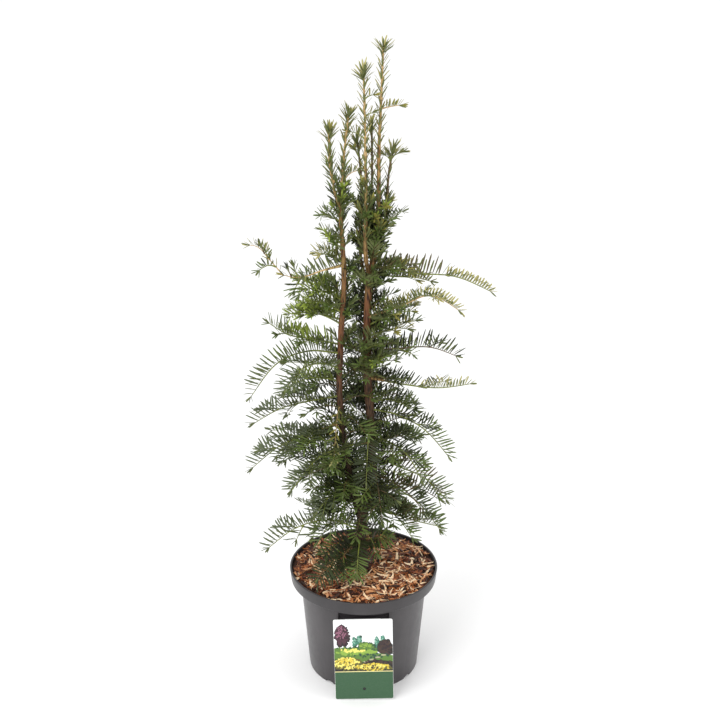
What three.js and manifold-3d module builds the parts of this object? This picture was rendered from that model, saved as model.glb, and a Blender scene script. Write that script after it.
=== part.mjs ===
// A young English yew in its round nursery pot, with a hanging plant label.
// Millimetres, +Z up. The origin is the centre of the pot's flat underside and -Y is the
// front, where the label hangs. The trunk and its leaders run up through the crown, the
// main boughs leave them, and every mass of foliage is one shoot that branches by a rule
// and carries its needles as a toothed blade.
import * as THREE from "three";
import { mergeVertices } from "three/addons/utils/BufferGeometryUtils.js";
import Module from "manifold-3d";

const wasm = await Module();
wasm.setup();

const UP = new THREE.Vector3(0, 0, 1);
const CLEAR = 0.3; // gap between any two pieces that meet
const WELD = 1e-4; // vertices closer than this are one
const OVERLAP = 0.5; // how far a joined block reaches into the piece that it joins

// The pot: a tapered moulded body under a deep lip, round in plan.
const POT = {
  height: 195,
  footRadius: 97,
  neckRadius: 111.5,
  lipRadius: 130,
  lipHeight: 22,
  lipDraft: 2.5, // how much narrower the lip's lower edge is
  wall: 1.8,
  lipWall: 3.5,
  floor: 3,
  edge: 1.5, // rounding of the foot and of the lip's top
  segments: 44,
};
// The shoulder, where the body widens into the lip: it starts below the lip's foot, steps out,
// and ends above it on the inside, a little in from the lip's inner face.
const SHOULDER = { below: 3, step: 3, above: 4, inset: 1 };
// Arched drain notches at the foot: the depth is along the radius, the spring is where the
// arch starts, as a share of the height.
const DRAIN = { count: 8, width: 17, height: 5, depth: 14, spring: 0.4, heading: 7 };

// The label's seat: a boss under the lip with a wide slot in it. Its front is part of a round
// of this radius, and below its face it slopes back into the wall at its foot.
const SEAT = { width: 94, front: 125.4, faceFoot: 146, foot: 126 };
const SLOT = { width: 86, height: 12.5, depth: 13, drop: 2.5 }; // drop is under the lip's foot
const LABEL = { width: 100, height: 160, thickness: 1, corner: 3, foot: 3, roll: 1.3 };
const HOLE = { radius: 1.6, height: 21 }; // the punched hole, over the label's lower edge
const TONGUE = { width: 60, depth: 6, drop: 2 }; // the label's tab, which lies in the slot

// The potting mix, topped with bark mulch that is a little uneven, but level round the trunk.
const MULCH = {
  level: 189, unevenness: 1.6, sink: 0.16, seed: 3, rings: 3, bevel: 3, edge: 2, levelRadius: 25,
};

// Stems: the height where each leaves its parent, then x, y, z and radius down its route.
const TRUNK_FOOT = 190;
const ROOT_FLARE = { radius: 5, height: 22 };
const STEMS = {
  trunk: {
    sides: 10,
    route: [
      [-5, 0, 190, 12], [-5, 0, 262, 10], [6, 0, 340, 8.4], [14, 0, 434, 7.4], [8, 0, 520, 7],
      [5, 0, 618, 6.6], [9, 0, 718, 5.6], [20, 0, 783, 4.2], [23, 0, 850, 3.5], [23, 0, 925, 2.8],
      [26, 0, 1008, 2],
    ],
  },
  left_stem: {
    parent: "trunk",
    sides: 8,
    route: [
      [-2, -1, 272, 6], [-23, -12, 366, 5.6], [-40, -12, 517, 5.2], [-38, -12, 615, 4.9],
      [-32, -12, 733, 4.2], [-37, -12, 838, 3], [-34, -12, 882, 2.3],
    ],
  },
  second_leader: {
    parent: "trunk",
    sides: 7,
    route: [[9, 0, 722, 3.6], [3, -10, 760, 3.6], [3, -12, 860, 2.8], [2, -12, 924, 2.1]],
  },
  right_leader: {
    parent: "trunk",
    sides: 6,
    route: [[19, 0, 776, 2.6], [34, 12, 812, 2.5], [37, 14, 858, 2]],
  },
  inner_leader: {
    parent: "trunk",
    sides: 6,
    route: [[12, 0, 738, 2.6], [11, 24, 790, 2.4], [12, 29, 846, 2]],
  },
  mid_leader: {
    parent: "trunk",
    sides: 6,
    route: [[8, 0, 704, 2.6], [-6, 15, 760, 2.4], [-5, 15, 836, 2]],
  },
  left_fork: {
    parent: "left_stem",
    sides: 6,
    route: [[-37, -12, 840, 2.4], [-45, -18, 866, 2.2], [-48, -20, 884, 2]],
  },
};

// The tops: each carries its stem on to its tip at x, y, z.
const TOPS = {
  trunk: [29, 0, 1101],
  left_stem: [-24, -12, 998],
  second_leader: [-1, -12, 1063],
  right_leader: [45, 14, 950],
  inner_leader: [12, 30, 974],
  mid_leader: [-10, 15, 951],
  left_fork: [-53, -21, 975],
};

// Side shoots: name, the stem or shoot they leave, the height there (or how far along the
// shoot), heading in degrees from +X towards +Y, reach, heights over the root at each
// third of the reach, number of twigs, and the length of bare bough at the root.
const SHOOTS = [
  ["left_high", "left_stem", 747, 188, 106, [-8, -18, -10], 2, 30],
  ["left_high_tip", "left_high", 1, 186, 60, [25, 48, 51], 2, 0],
  ["left_crest", "left_stem", 781, 200, 34, [8, 16, 24], 0, 0],
  ["left_sprig", "left_stem", 828, 172, 34, [6, 13, 20], 0, 0],
  ["left_upper_back", "left_stem", 690, 158, 78, [12, 24, 34], 3, 0],
  ["left_upper", "left_stem", 655, 172, 96, [7, 9, 4], 3, 0],
  ["left_shoulder", "left_stem", 612, 183, 124, [10, 18, 45], 3, 0],
  ["left_droop", "left_stem", 596, 194, 156, [9, -7, -70], 0, 0],
  ["left_front", "left_stem", 570, 218, 118, [18, 16, -22], 3, 0],
  ["left_middle", "left_stem", 522, 199, 154, [-2, -9, -32], 3, 0],
  ["left_low", "left_stem", 472, 203, 166, [-8, -22, -58], 4, 36],
  ["left_low_front", "trunk", 430, 219, 176, [9, 4, -43], 4, 40],
  ["left_low_back", "trunk", 385, 172, 140, [4, -10, -50], 4, 0],
  ["left_foot", "trunk", 263, 196, 172, [27, 21, -16], 2, 0],
  ["right_high", "trunk", 743, 4, 203, [-14, -21, -52], 2, 30],
  ["right_sprig", "trunk", 821, 350, 42, [6, 13, 20], 0, 0],
  ["right_crest", "trunk", 993, 0, 38, [3, 5, 6], 0, 0],
  ["right_upper", "trunk", 655, 338, 164, [25, 51, 28], 3, 34],
  ["right_upper_back", "trunk", 628, 24, 98, [6, 10, 8], 2, 0],
  ["right_shoulder", "trunk", 597, 354, 156, [6, 10, -7], 3, 0],
  ["right_middle", "trunk", 549, 347, 180, [-7, -8, 6], 2, 30],
  ["right_middle_back", "trunk", 505, 14, 92, [2, -8, -30], 2, 0],
  ["right_droop", "trunk", 492, 343, 142, [-4, -25, -74], 1, 0],
  ["right_front", "trunk", 440, 326, 104, [-1, -14, -60], 3, 0],
  ["right_low", "trunk", 408, 352, 136, [-19, -38, -84], 3, 0],
  ["right_low_back", "trunk", 352, 18, 140, [-6, -24, -58], 3, 0],
  ["right_foot", "trunk", 312, 338, 144, [-7, -13, -15], 3, 0],
  ["front_hanging", "trunk", 470, 262, 62, [-4, -34, -94], 0, 0],
  ["front_low", "trunk", 392, 282, 92, [0, -22, -70], 4, 0],
  ["front_foot", "trunk", 248, 265, 78, [-4, -16, -40], 0, 0],
  ["front_foot_left", "trunk", 236, 234, 130, [6, 2, -16], 2, 0],
  ["back_foot", "trunk", 290, 84, 132, [10, 6, -18], 3, 0],
  ["back_low", "trunk", 345, 126, 146, [4, -6, -44], 4, 0],
  ["back_low_right", "trunk", 418, 58, 150, [2, -10, -48], 3, 0],
  ["back_middle", "trunk", 474, 100, 152, [6, 0, -32], 4, 0],
  ["back_shoulder", "trunk", 566, 66, 132, [10, 10, -4], 3, 0],
  ["back_upper", "trunk", 640, 116, 108, [12, 18, 14], 3, 0],
];

const BOUGH = { radius: 3, sides: 6, step: 16 };
const STEM_STEP = 38; // length of a straight stretch of a stem
const LEADER_BEND = 0.4; // how far along a top follows its stem before it turns to its tip

// Needles stand as teeth along a rib. Lengths, angles in degrees, spacing along the rib.
const LATERAL = {
  ranks: 2, twist: 0, pitch: 11, needle: 31, tipNeedle: 17, slant: 25, lift: 26, rib: 1.9, ribTip: 0.9,
};
const TWIG = { ...LATERAL, needle: 25, tipNeedle: 15, rib: 1.3, ribTip: 0.8 };
const LEADER = { ...LATERAL, ranks: 3, twist: 41, needle: 19, tipNeedle: 22, slant: 46, lift: 0 };
// Where a shoot's twigs leave it, as shares of its length, their angle, their length as a share
// of what is left of the shoot and a little beyond it, and how they rise and droop.
const BRANCHING = {
  first: 0.16, last: 0.8, angle: 50, share: 0.46, beyond: 0.1, shortest: 30, longest: 74, lift: 0.14,
  droop: 0.12,
};
// How much a twig's place, angle and length vary, and which draw of chance each starts at.
const VARYING = {
  place: { spread: 0.6, draw: 0 },
  angle: { spread: 16, draw: 20 },
  length: { spread: 0.4, draw: 40 },
};
const TIP = 8; // length of the point that ends a rib
const LAST_STATION = 4; // distance from a rib's last station to its point
const SWELL = 0.3; // the share of a shoot's end where needles start below their full length
const NEEDLE_GAP = 2.6; // room kept between the needles and ribs of two masses
const LIMB_GAP = 1.2; // room kept between a needle and a limb
const POT_GAP = 2.5; // room kept over the mulch and the pot's rim
const RIM_BAND = 6; // how far in from the lip's inner face the rim's height still counts
const POINT_STEP = 3; // spacing of the points that test a triangle's edges
const HALVINGS = 24; // how often a stem is halved to find a height on it
const STRETCH_STEPS = 6; // steps in which a part of a curve is taken over

const BARK = { color: 0x7d4a2c, roughness: 0.85 };
const YOUNG_BARK = { color: 0xa9824a, roughness: 0.7 };
const NEEDLES = { color: 0x3d6030, roughness: 0.55 };

const tree = new THREE.Group();

function addPiece(name, geometry, look) {
  const material = new THREE.MeshStandardMaterial({ metalness: 0, ...look });
  const mesh = new THREE.Mesh(geometry, material);
  mesh.name = name;
  tree.add(mesh);
}

// The geometry as positions alone, with its shared vertices merged.
function welded(geometry) {
  const bare = geometry.clone();
  bare.deleteAttribute("normal");
  bare.deleteAttribute("uv");
  return mergeVertices(bare, WELD);
}

function toSolid(geometry) {
  const merged = welded(geometry);
  const mesh = new wasm.Mesh({
    numProp: 3,
    vertProperties: new Float32Array(merged.attributes.position.array),
    triVerts: new Uint32Array(merged.index.array),
  });
  return new wasm.Manifold(mesh);
}

function toGeometry(solid) {
  const mesh = solid.getMesh();
  const geometry = new THREE.BufferGeometry();
  geometry.setAttribute("position", new THREE.BufferAttribute(mesh.vertProperties, 3));
  geometry.setIndex(new THREE.BufferAttribute(mesh.triVerts, 1));
  geometry.computeVertexNormals();
  return geometry;
}

function geometryFrom(points, faces) {
  const geometry = new THREE.BufferGeometry().setFromPoints(points);
  geometry.setIndex(faces);
  return geometry;
}

// A repeatable number from 0 to 1 for a pair of counts.
function chance(seed, step) {
  const wave = Math.sin(seed * 12.9898 + step * 78.233) * 43758.5453;
  return wave - Math.floor(wave);
}

// A repeatable offset, up to half the spread either way.
function sway(seed, step, spread) {
  return spread * (chance(seed, step) - 0.5);
}

// ---------------------------------------------------------------- pot, mix and label

function revolve(profile) {
  const points = profile.map(([radius, height]) => new THREE.Vector2(radius, height));
  const geometry = new THREE.LatheGeometry(points, POT.segments);
  geometry.rotateX(Math.PI / 2); // the lathe turns about +Y
  return geometry;
}

function boxAt(width, depth, height, x, y, z) {
  return toSolid(new THREE.BoxGeometry(width, depth, height).translate(x, y, z));
}

const lipFoot = POT.height - POT.lipHeight;
const innerLip = POT.lipRadius - POT.lipWall;
const wallAt = (height) =>
  THREE.MathUtils.lerp(POT.footRadius, POT.neckRadius, height / lipFoot) - POT.wall;

// The pot's inner wall, from its floor up to the rim.
const innerWall = [
  [wallAt(POT.floor), POT.floor],
  [wallAt(lipFoot), lipFoot - SHOULDER.below],
  [POT.neckRadius + SHOULDER.inset, lipFoot + POT.wall],
  [innerLip - SHOULDER.inset, lipFoot + POT.wall + SHOULDER.above],
  [innerLip, POT.height - POT.edge],
];

function makePot() {
  const { edge, floor, height } = POT;
  const profile = [
    [0, 0],
    [POT.footRadius - edge, 0],
    [POT.footRadius, edge],
    [POT.neckRadius, lipFoot - SHOULDER.below],
    [POT.neckRadius + SHOULDER.step, lipFoot],
    [POT.lipRadius - POT.lipDraft, lipFoot],
    [POT.lipRadius, height - edge],
    [POT.lipRadius - edge, height],
    [innerLip + edge, height],
    ...innerWall.toReversed(),
    [0, floor],
  ];
  let pot = toSolid(revolve(profile));
  const plug = innerWall.map(([radius, z]) => [radius + POT.wall / 2, z]);
  plug.unshift([0, floor]);
  plug.push([0, height - edge]);
  pot = pot.add(labelSeat().subtract(toSolid(revolve(plug))));
  const slotY = -SEAT.front + (SLOT.depth - OVERLAP) / 2;
  const slotZ = lipFoot - SLOT.drop - SLOT.height / 2;
  pot = pot.subtract(boxAt(SLOT.width, SLOT.depth + OVERLAP, SLOT.height, 0, slotY, slotZ));
  for (let i = 0; i < DRAIN.count; i += 1) {
    pot = pot.subtract(drainNotch(DRAIN.heading + (i * 360) / DRAIN.count));
  }
  return toGeometry(pot);
}

// The boss under the lip that the slot is cut in, still filled up to the pot's axis.
function labelSeat() {
  const round = toSolid(revolve([
    [0, SEAT.foot],
    [wallAt(SEAT.foot) + OVERLAP, SEAT.foot],
    [SEAT.front, SEAT.faceFoot],
    [SEAT.front, lipFoot + OVERLAP],
    [0, lipFoot + OVERLAP],
  ]));
  const depth = SEAT.front + OVERLAP;
  return round.intersect(boxAt(SEAT.width, depth, POT.height, 0, -depth / 2, POT.height / 2));
}

function drainNotch(heading) {
  const half = DRAIN.width / 2;
  const spring = DRAIN.height * DRAIN.spring;
  const arch = new THREE.Shape();
  arch.moveTo(-half, -OVERLAP);
  arch.lineTo(half, -OVERLAP);
  arch.lineTo(half, spring);
  arch.lineTo(half / 2, DRAIN.height);
  arch.lineTo(-half / 2, DRAIN.height);
  arch.lineTo(-half, spring);
  arch.closePath();
  const block = new THREE.ExtrudeGeometry(arch, { depth: DRAIN.depth, bevelEnabled: false });
  block.rotateX(Math.PI / 2);
  block.rotateZ(Math.PI / 2);
  block.translate(POT.footRadius - DRAIN.depth / 2, 0, 0);
  block.rotateZ(THREE.MathUtils.degToRad(heading));
  return toSolid(block);
}

function makePottingMix() {
  const outer = innerLip - SHOULDER.inset - CLEAR;
  const shoulder = lipFoot + POT.wall + SHOULDER.above;
  const profile = [
    [0, POT.floor + CLEAR],
    [wallAt(POT.floor) - CLEAR, POT.floor + CLEAR],
    [wallAt(lipFoot) - CLEAR, lipFoot - SHOULDER.below],
    [POT.neckRadius + SHOULDER.inset - CLEAR * 2, lipFoot + POT.wall + CLEAR],
    [outer, shoulder + CLEAR],
    [outer, MULCH.level - MULCH.edge],
  ];
  for (let ring = MULCH.rings; ring > 0; ring -= 1) {
    profile.push([(outer - MULCH.bevel) * (ring / MULCH.rings), MULCH.level]);
  }
  profile.push([0, MULCH.level]);
  const geometry = welded(revolve(profile));
  const place = geometry.attributes.position;
  for (let i = 0; i < place.count; i += 1) {
    const radius = Math.hypot(place.getX(i), place.getY(i));
    if (place.getZ(i) > MULCH.level - MULCH.edge / 2 && radius > MULCH.levelRadius) {
      place.setZ(i, MULCH.level - MULCH.sink + sway(i, MULCH.seed, MULCH.unevenness));
    }
  }
  return toGeometry(toSolid(geometry));
}

function makeLabel() {
  const { width, height, thickness, corner } = LABEL;
  const card = new THREE.Shape();
  const [x, z] = [width / 2, height / 2];
  card.moveTo(-x + corner, -z);
  card.lineTo(x - corner, -z);
  card.quadraticCurveTo(x, -z, x, -z + corner);
  card.lineTo(x, z - corner);
  card.quadraticCurveTo(x, z, x - corner, z);
  card.lineTo(-x + corner, z);
  card.quadraticCurveTo(-x, z, -x, z - corner);
  card.lineTo(-x, -z + corner);
  card.quadraticCurveTo(-x, -z, -x + corner, -z);
  const punched = new THREE.Path();
  punched.absarc(0, -z + HOLE.height, HOLE.radius, 0, Math.PI * 2);
  card.holes.push(punched);
  const options = { depth: thickness, bevelEnabled: false, curveSegments: 3 };
  const plate = new THREE.ExtrudeGeometry(card, options);
  plate.rotateX(Math.PI / 2);
  const tongueY = (TONGUE.depth - thickness) / 2;
  const tongue = boxAt(TONGUE.width, TONGUE.depth, thickness, 0, tongueY, z - TONGUE.drop);
  const label = toGeometry(toSolid(plate).add(tongue));
  label.rotateY(THREE.MathUtils.degToRad(-LABEL.roll));
  label.translate(0, -SEAT.front - CLEAR, LABEL.foot + z);
  return label;
}

// ---------------------------------------------------------------- limbs

function sweep(curve, radiusAt, sides, steps) {
  const frames = curve.computeFrenetFrames(steps, false);
  const points = [];
  const faces = [];
  for (let i = 0; i <= steps; i += 1) {
    const centre = curve.getPointAt(i / steps);
    const radius = radiusAt(i / steps);
    for (let j = 0; j < sides; j += 1) {
      const angle = (j / sides) * Math.PI * 2;
      const point = centre.clone();
      point.addScaledVector(frames.normals[i], Math.cos(angle) * radius);
      point.addScaledVector(frames.binormals[i], Math.sin(angle) * radius);
      points.push(point);
    }
  }
  for (let i = 0; i < steps; i += 1) {
    for (let j = 0; j < sides; j += 1) {
      const a = i * sides + j;
      const b = i * sides + ((j + 1) % sides);
      faces.push(a, b, b + sides, a, b + sides, a + sides);
    }
  }
  for (let j = 1; j < sides - 1; j += 1) {
    const last = steps * sides;
    faces.push(0, j + 1, j, last, last + j, last + j + 1);
  }
  return geometryFrom(points, faces);
}

// A stem's centre line, and the radius at each share of it.
function stemCurve(name) {
  const { route } = STEMS[name];
  const curve = new THREE.CatmullRomCurve3(route.map(([x, y, z]) => new THREE.Vector3(x, y, z)));
  const radiusAt = (share) => {
    const height = curve.getPointAt(share).z;
    let step = 1;
    while (step < route.length - 1 && route[step][2] < height) step += 1;
    const [low, high] = [route[step - 1], route[step]];
    const along = THREE.MathUtils.clamp((height - low[2]) / (high[2] - low[2]), 0, 1);
    const flare = ROOT_FLARE.radius * Math.exp(-(height - TRUNK_FOOT) / (ROOT_FLARE.height / 2));
    return THREE.MathUtils.lerp(low[3], high[3], along) + flare;
  };
  return { curve, radiusAt };
}

const limbs = {};

// A limb's solid, cut clear of its parent. The limb is kept with its grown solid, which cuts
// what meets it, and its spine, which keeps the needles off.
function addLimb(name, curve, radiusAt, sides, parent, stepLength) {
  const steps = Math.max(2, Math.round(curve.getLength() / stepLength));
  const grown = toSolid(sweep(curve, (share) => radiusAt(share) + CLEAR, sides, steps));
  let solid = toSolid(sweep(curve, radiusAt, sides, steps));
  if (parent) solid = solid.subtract(limbs[parent].grown);
  const spine = Array.from({ length: steps * 2 + 1 }, (_, i) => curve.getPointAt(i / (steps * 2)));
  const girths = spine.map((_, i) => radiusAt(i / (steps * 2)));
  limbs[name] = { curve, grown, spine, girths };
  return toGeometry(solid);
}

function pointAtHeight(curve, height) {
  let [low, high] = [0, 1];
  for (let i = 0; i < HALVINGS; i += 1) {
    const middle = (low + high) / 2;
    if (curve.getPointAt(middle).z < height) low = middle;
    else high = middle;
  }
  return curve.getPointAt(low);
}

// ---------------------------------------------------------------- shoots and needles

// The part of a curve from one share of its length to another.
function stretch(curve, from, to) {
  const points = Array.from({ length: STRETCH_STEPS + 1 }, (_, step) =>
    curve.getPointAt(THREE.MathUtils.lerp(from, to, step / STRETCH_STEPS)));
  return new THREE.CatmullRomCurve3(points);
}

function shootCurve(root, heading, reach, thirds) {
  const angle = THREE.MathUtils.degToRad(heading);
  const outward = new THREE.Vector3(Math.cos(angle), Math.sin(angle), 0);
  const points = [0, ...thirds].map((height, third) =>
    root.clone().addScaledVector(outward, (reach * third) / 3).addScaledVector(UP, height));
  return new THREE.CatmullRomCurve3(points);
}

// A rib with stations along it. Its section has a toothed edge for each rank of needles,
// with a ridge between each two, and it turns by the habit's twist from one to the next.
function makeRib(curve, sideways, habit) {
  const length = curve.getLength();
  const count = Math.max(2, Math.round(length / habit.pitch));
  const stations = [];
  for (let i = 0; i <= count; i += 1) {
    const share = (i / count) * (1 - LAST_STATION / length);
    const centre = curve.getPointAt(share);
    const along = curve.getTangentAt(share);
    const side = sideways.clone().addScaledVector(along, -sideways.dot(along)).normalize();
    const lift = new THREE.Vector3().crossVectors(along, side);
    const radius = THREE.MathUtils.lerp(habit.rib, habit.ribTip, share);
    const corners = [];
    for (let corner = 0; corner < habit.ranks * 2; corner += 1) {
      const angle = (corner / habit.ranks) * Math.PI + i * THREE.MathUtils.degToRad(habit.twist);
      const way = side.clone().multiplyScalar(Math.cos(angle)).addScaledVector(lift, Math.sin(angle));
      corners.push({ way, point: centre.clone().addScaledVector(way, radius) });
    }
    stations.push({ centre, along, side, lift, corners, share });
  }
  const tip = curve.getPointAt(1).addScaledVector(curve.getTangentAt(1), TIP);
  return { curve, length, stations, tip, habit, teeth: new Map() };
}

// The needle between two stations, on one toothed edge of the rib, as a long triangle.
function needleAt(rib, index, corner) {
  const { habit, stations } = rib;
  const [low, high] = [stations[index], stations[index + 1]];
  const slant = THREE.MathUtils.degToRad(habit.slant);
  const lift = THREE.MathUtils.degToRad(habit.lift);
  const swell = Math.sin(Math.PI * Math.min(1, low.share + SWELL));
  const reach = THREE.MathUtils.lerp(habit.tipNeedle, habit.needle, swell);
  const way = low.corners[corner].way.clone().add(high.corners[corner].way).normalize();
  const tip = low.centre.clone().lerp(high.centre, 0.5);
  tip.addScaledVector(way, reach * Math.cos(slant) * Math.cos(lift));
  tip.addScaledVector(low.lift, reach * Math.cos(slant) * Math.sin(lift));
  tip.addScaledVector(low.along, reach * Math.sin(slant));
  return new THREE.Triangle(low.corners[corner].point, tip, high.corners[corner].point);
}

// One closed blade: the rib, toothed wherever a needle has room.
function bladeGeometry(rib) {
  const { stations, teeth } = rib;
  const size = stations[0].corners.length;
  const points = stations.flatMap((station) => station.corners.map((corner) => corner.point));
  const faces = [];
  for (let i = 0; i < stations.length - 1; i += 1) {
    for (let edge = 0; edge < size; edge += 2) {
      const tooth = teeth.get(`${i} ${edge}`);
      const tip = tooth && points.push(tooth.b) - 1;
      const [near, far] = [i * size + edge, (i + 1) * size + edge];
      for (const turn of [1, -1]) {
        const next = (edge + turn + size) % size;
        const [low, high] = [i * size + next, (i + 1) * size + next];
        const fan = tooth
          ? [[low, high, tip], [high, far, tip], [low, tip, near]]
          : [[low, high, far], [low, far, near]];
        faces.push(...fan.flatMap(([a, b, c]) => (turn === 1 ? [a, b, c] : [a, c, b])));
      }
    }
  }
  const last = points.push(rib.tip) - 1;
  const end = (stations.length - 1) * size;
  for (let corner = 0; corner < size; corner += 1) {
    faces.push(end + corner, end + ((corner + 1) % size), last);
    if (corner > 0 && corner < size - 1) faces.push(0, corner + 1, corner);
  }
  return geometryFrom(points, faces);
}

// What is already placed, as triangles with the rib that they belong to.
const placed = [];

function occupy(triangle, rib) {
  const middle = triangle.getMidpoint(new THREE.Vector3());
  const size = Math.max(...[triangle.a, triangle.b, triangle.c].map((p) => p.distanceTo(middle)));
  placed.push({ triangle, rib, middle, size });
}

// Points along a triangle's three edges, close enough that no crossing is missed.
function edgePoints(triangle) {
  const corners = [triangle.a, triangle.b, triangle.c];
  return corners.flatMap((corner, i) => {
    const next = corners[(i + 1) % 3];
    const count = Math.ceil(corner.distanceTo(next) / POINT_STEP);
    return Array.from({ length: count }, (_, j) => corner.clone().lerp(next, j / count));
  });
}

function nearTriangle(points, triangle, gap) {
  const nearest = new THREE.Vector3();
  return points.some((point) =>
    triangle.closestPointToPoint(point, nearest).distanceTo(point) < gap);
}

function touchesLimb(points) {
  const segment = new THREE.Line3();
  const nearest = new THREE.Vector3();
  return Object.values(limbs).some((limb) => limb.spine.slice(1).some((end, i) => {
    segment.set(limb.spine[i], end);
    const room = limb.girths[i] + LIMB_GAP;
    return points.some((p) => segment.closestPointToPoint(p, true, nearest).distanceTo(p) < room);
  }));
}

function touchesPot(points) {
  return points.some((point) => {
    const radius = Math.hypot(point.x, point.y);
    const rim = radius > innerLip - RIM_BAND ? POT.height : MULCH.level;
    return radius < POT.lipRadius + POT_GAP && point.z < rim + POT_GAP;
  });
}

function hasRoom(triangle, ...ownRibs) {
  const points = edgePoints(triangle);
  if (touchesPot(points) || touchesLimb(points)) return false;
  const middle = triangle.getMidpoint(new THREE.Vector3());
  const size = Math.max(...points.map((point) => point.distanceTo(middle)));
  return !placed.some((other) => !ownRibs.includes(other.rib) &&
    other.middle.distanceTo(middle) < size + other.size + NEEDLE_GAP &&
    (nearTriangle(points, other.triangle, NEEDLE_GAP) ||
      nearTriangle(edgePoints(other.triangle), triangle, NEEDLE_GAP)));
}

function ribTriangles(rib) {
  return rib.stations.slice(1).map(({ centre }, i) => {
    const { corners } = rib.stations[i];
    return new THREE.Triangle(corners[0].point, corners[corners.length / 2].point, centre);
  });
}

// The twigs of a shoot leave it on alternate hands, shorter towards its tip.
function twigRibs(rib, count, seed) {
  const twigs = [];
  const vary = (what, i) => sway(seed, i + VARYING[what].draw, VARYING[what].spread);
  const pitch = (BRANCHING.last - BRANCHING.first) / Math.max(1, count);
  for (let i = 0; i < count; i += 1) {
    const share = BRANCHING.first + pitch * (i + 0.5 + vary("place", i));
    const hand = (i + seed) % 2 === 0 ? 1 : -1;
    const root = rib.curve.getPointAt(share);
    const along = rib.curve.getTangentAt(share);
    const station = rib.stations[Math.round(share * (rib.stations.length - 1))];
    const angle = THREE.MathUtils.degToRad(BRANCHING.angle + vary("angle", i));
    const left = rib.length * (1 - share + BRANCHING.beyond);
    const length = THREE.MathUtils.clamp(
      left * BRANCHING.share * (1 + vary("length", i)), BRANCHING.shortest, BRANCHING.longest);
    const way = along.clone().multiplyScalar(Math.cos(angle));
    way.addScaledVector(station.side, hand * Math.sin(angle));
    way.addScaledVector(station.lift, BRANCHING.lift);
    const bend = root.clone().addScaledVector(way, length / 2);
    const tip = root.clone().addScaledVector(way, length);
    tip.addScaledVector(UP, -length * BRANCHING.droop);
    const curve = new THREE.CatmullRomCurve3([root, bend, tip]);
    const sideways = new THREE.Vector3().crossVectors(station.lift, way).normalize();
    twigs.push(makeRib(curve, sideways, TWIG));
  }
  return twigs;
}

function growNeedles(rib) {
  for (let i = 0; i < rib.stations.length - 1; i += 1) {
    for (let edge = 0; edge < rib.stations[i].corners.length; edge += 2) {
      const triangle = needleAt(rib, i, edge);
      if (hasRoom(triangle, rib)) {
        rib.teeth.set(`${i} ${edge}`, triangle);
        occupy(triangle, rib);
      }
    }
  }
}

// ---------------------------------------------------------------- the whole plant

addPiece("pot", makePot(), { color: 0x4a4849, roughness: 0.55 });
addPiece("potting_mix", makePottingMix(), { color: 0x8a5a34, roughness: 0.95 });
addPiece("plant_label", makeLabel(), { color: 0x4f7a55, roughness: 0.35 });

for (const [name, { parent, sides }] of Object.entries(STEMS)) {
  const { curve, radiusAt } = stemCurve(name);
  const look = name === "trunk" || name === "left_stem" ? BARK : YOUNG_BARK;
  addPiece(name, addLimb(name, curve, radiusAt, sides, parent, STEM_STEP), look);
}

const masses = [];
const mains = {};

for (const [stem, tip] of Object.entries(TOPS)) {
  const { curve, spine, girths } = limbs[stem];
  const way = curve.getTangentAt(1);
  const root = spine[spine.length - 1].clone().addScaledVector(way, CLEAR);
  const end = new THREE.Vector3(...tip).addScaledVector(UP, -TIP);
  const bend = root.clone().addScaledVector(way, root.distanceTo(end) * LEADER_BEND);
  const topCurve = new THREE.CatmullRomCurve3([root, bend, end]);
  const habit = { ...LEADER, rib: girths[girths.length - 1] };
  const ribs = [makeRib(topCurve, new THREE.Vector3(1, 0, 0), habit)];
  masses.push({ name: `${stem}_top`, ribs, twigs: 0 });
}

SHOOTS.forEach(([name, from, where, heading, reach, thirds, twigs, bare], seed) => {
  const stem = limbs[from] ? from : null;
  const root = stem ? pointAtHeight(limbs[stem].curve, where) : mains[from].tip.clone();
  const line = shootCurve(root, heading, reach, thirds);
  const length = line.getLength();
  let start = stem ? 0 : CLEAR / length;
  if (bare > 0) {
    start = bare / length;
    const radiusAt = (share) => THREE.MathUtils.lerp(BOUGH.radius, LATERAL.rib, share);
    const bough = stretch(line, 0, start);
    const shape = addLimb(`${name}_bough`, bough, radiusAt, BOUGH.sides, stem, BOUGH.step);
    addPiece(`${name}_bough`, shape, YOUNG_BARK);
    start += CLEAR / length;
  }
  const angle = THREE.MathUtils.degToRad(heading);
  const sideways = new THREE.Vector3(-Math.sin(angle), Math.cos(angle), 0);
  const main = makeRib(stretch(line, start, 1 - TIP / length), sideways, LATERAL);
  mains[name] = main;
  masses.push({ name: `${name}_foliage`, ribs: [main], twigs, seed, cut: bare > 0 ? null : stem });
});

for (const { ribs } of masses) ribTriangles(ribs[0]).forEach((one) => occupy(one, ribs[0]));
for (const { ribs, twigs, seed } of masses) {
  for (const twig of twigRibs(ribs[0], twigs, seed)) {
    const triangles = ribTriangles(twig);
    if (triangles.every((triangle) => hasRoom(triangle, ribs[0]))) {
      ribs.push(twig);
      triangles.forEach((triangle) => occupy(triangle, twig));
    }
  }
}
for (const { name, ribs, cut } of masses) {
  ribs.forEach(growNeedles);
  let solid = ribs.map((rib) => toSolid(bladeGeometry(rib))).reduce((a, b) => a.add(b));
  if (cut) solid = solid.subtract(limbs[cut].grown);
  addPiece(name, toGeometry(solid), NEEDLES);
}

export default tree;
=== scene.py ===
import functools
import math
from dataclasses import dataclass

import bmesh
import bpy
import numpy as np
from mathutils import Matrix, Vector, kdtree, noise


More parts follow.
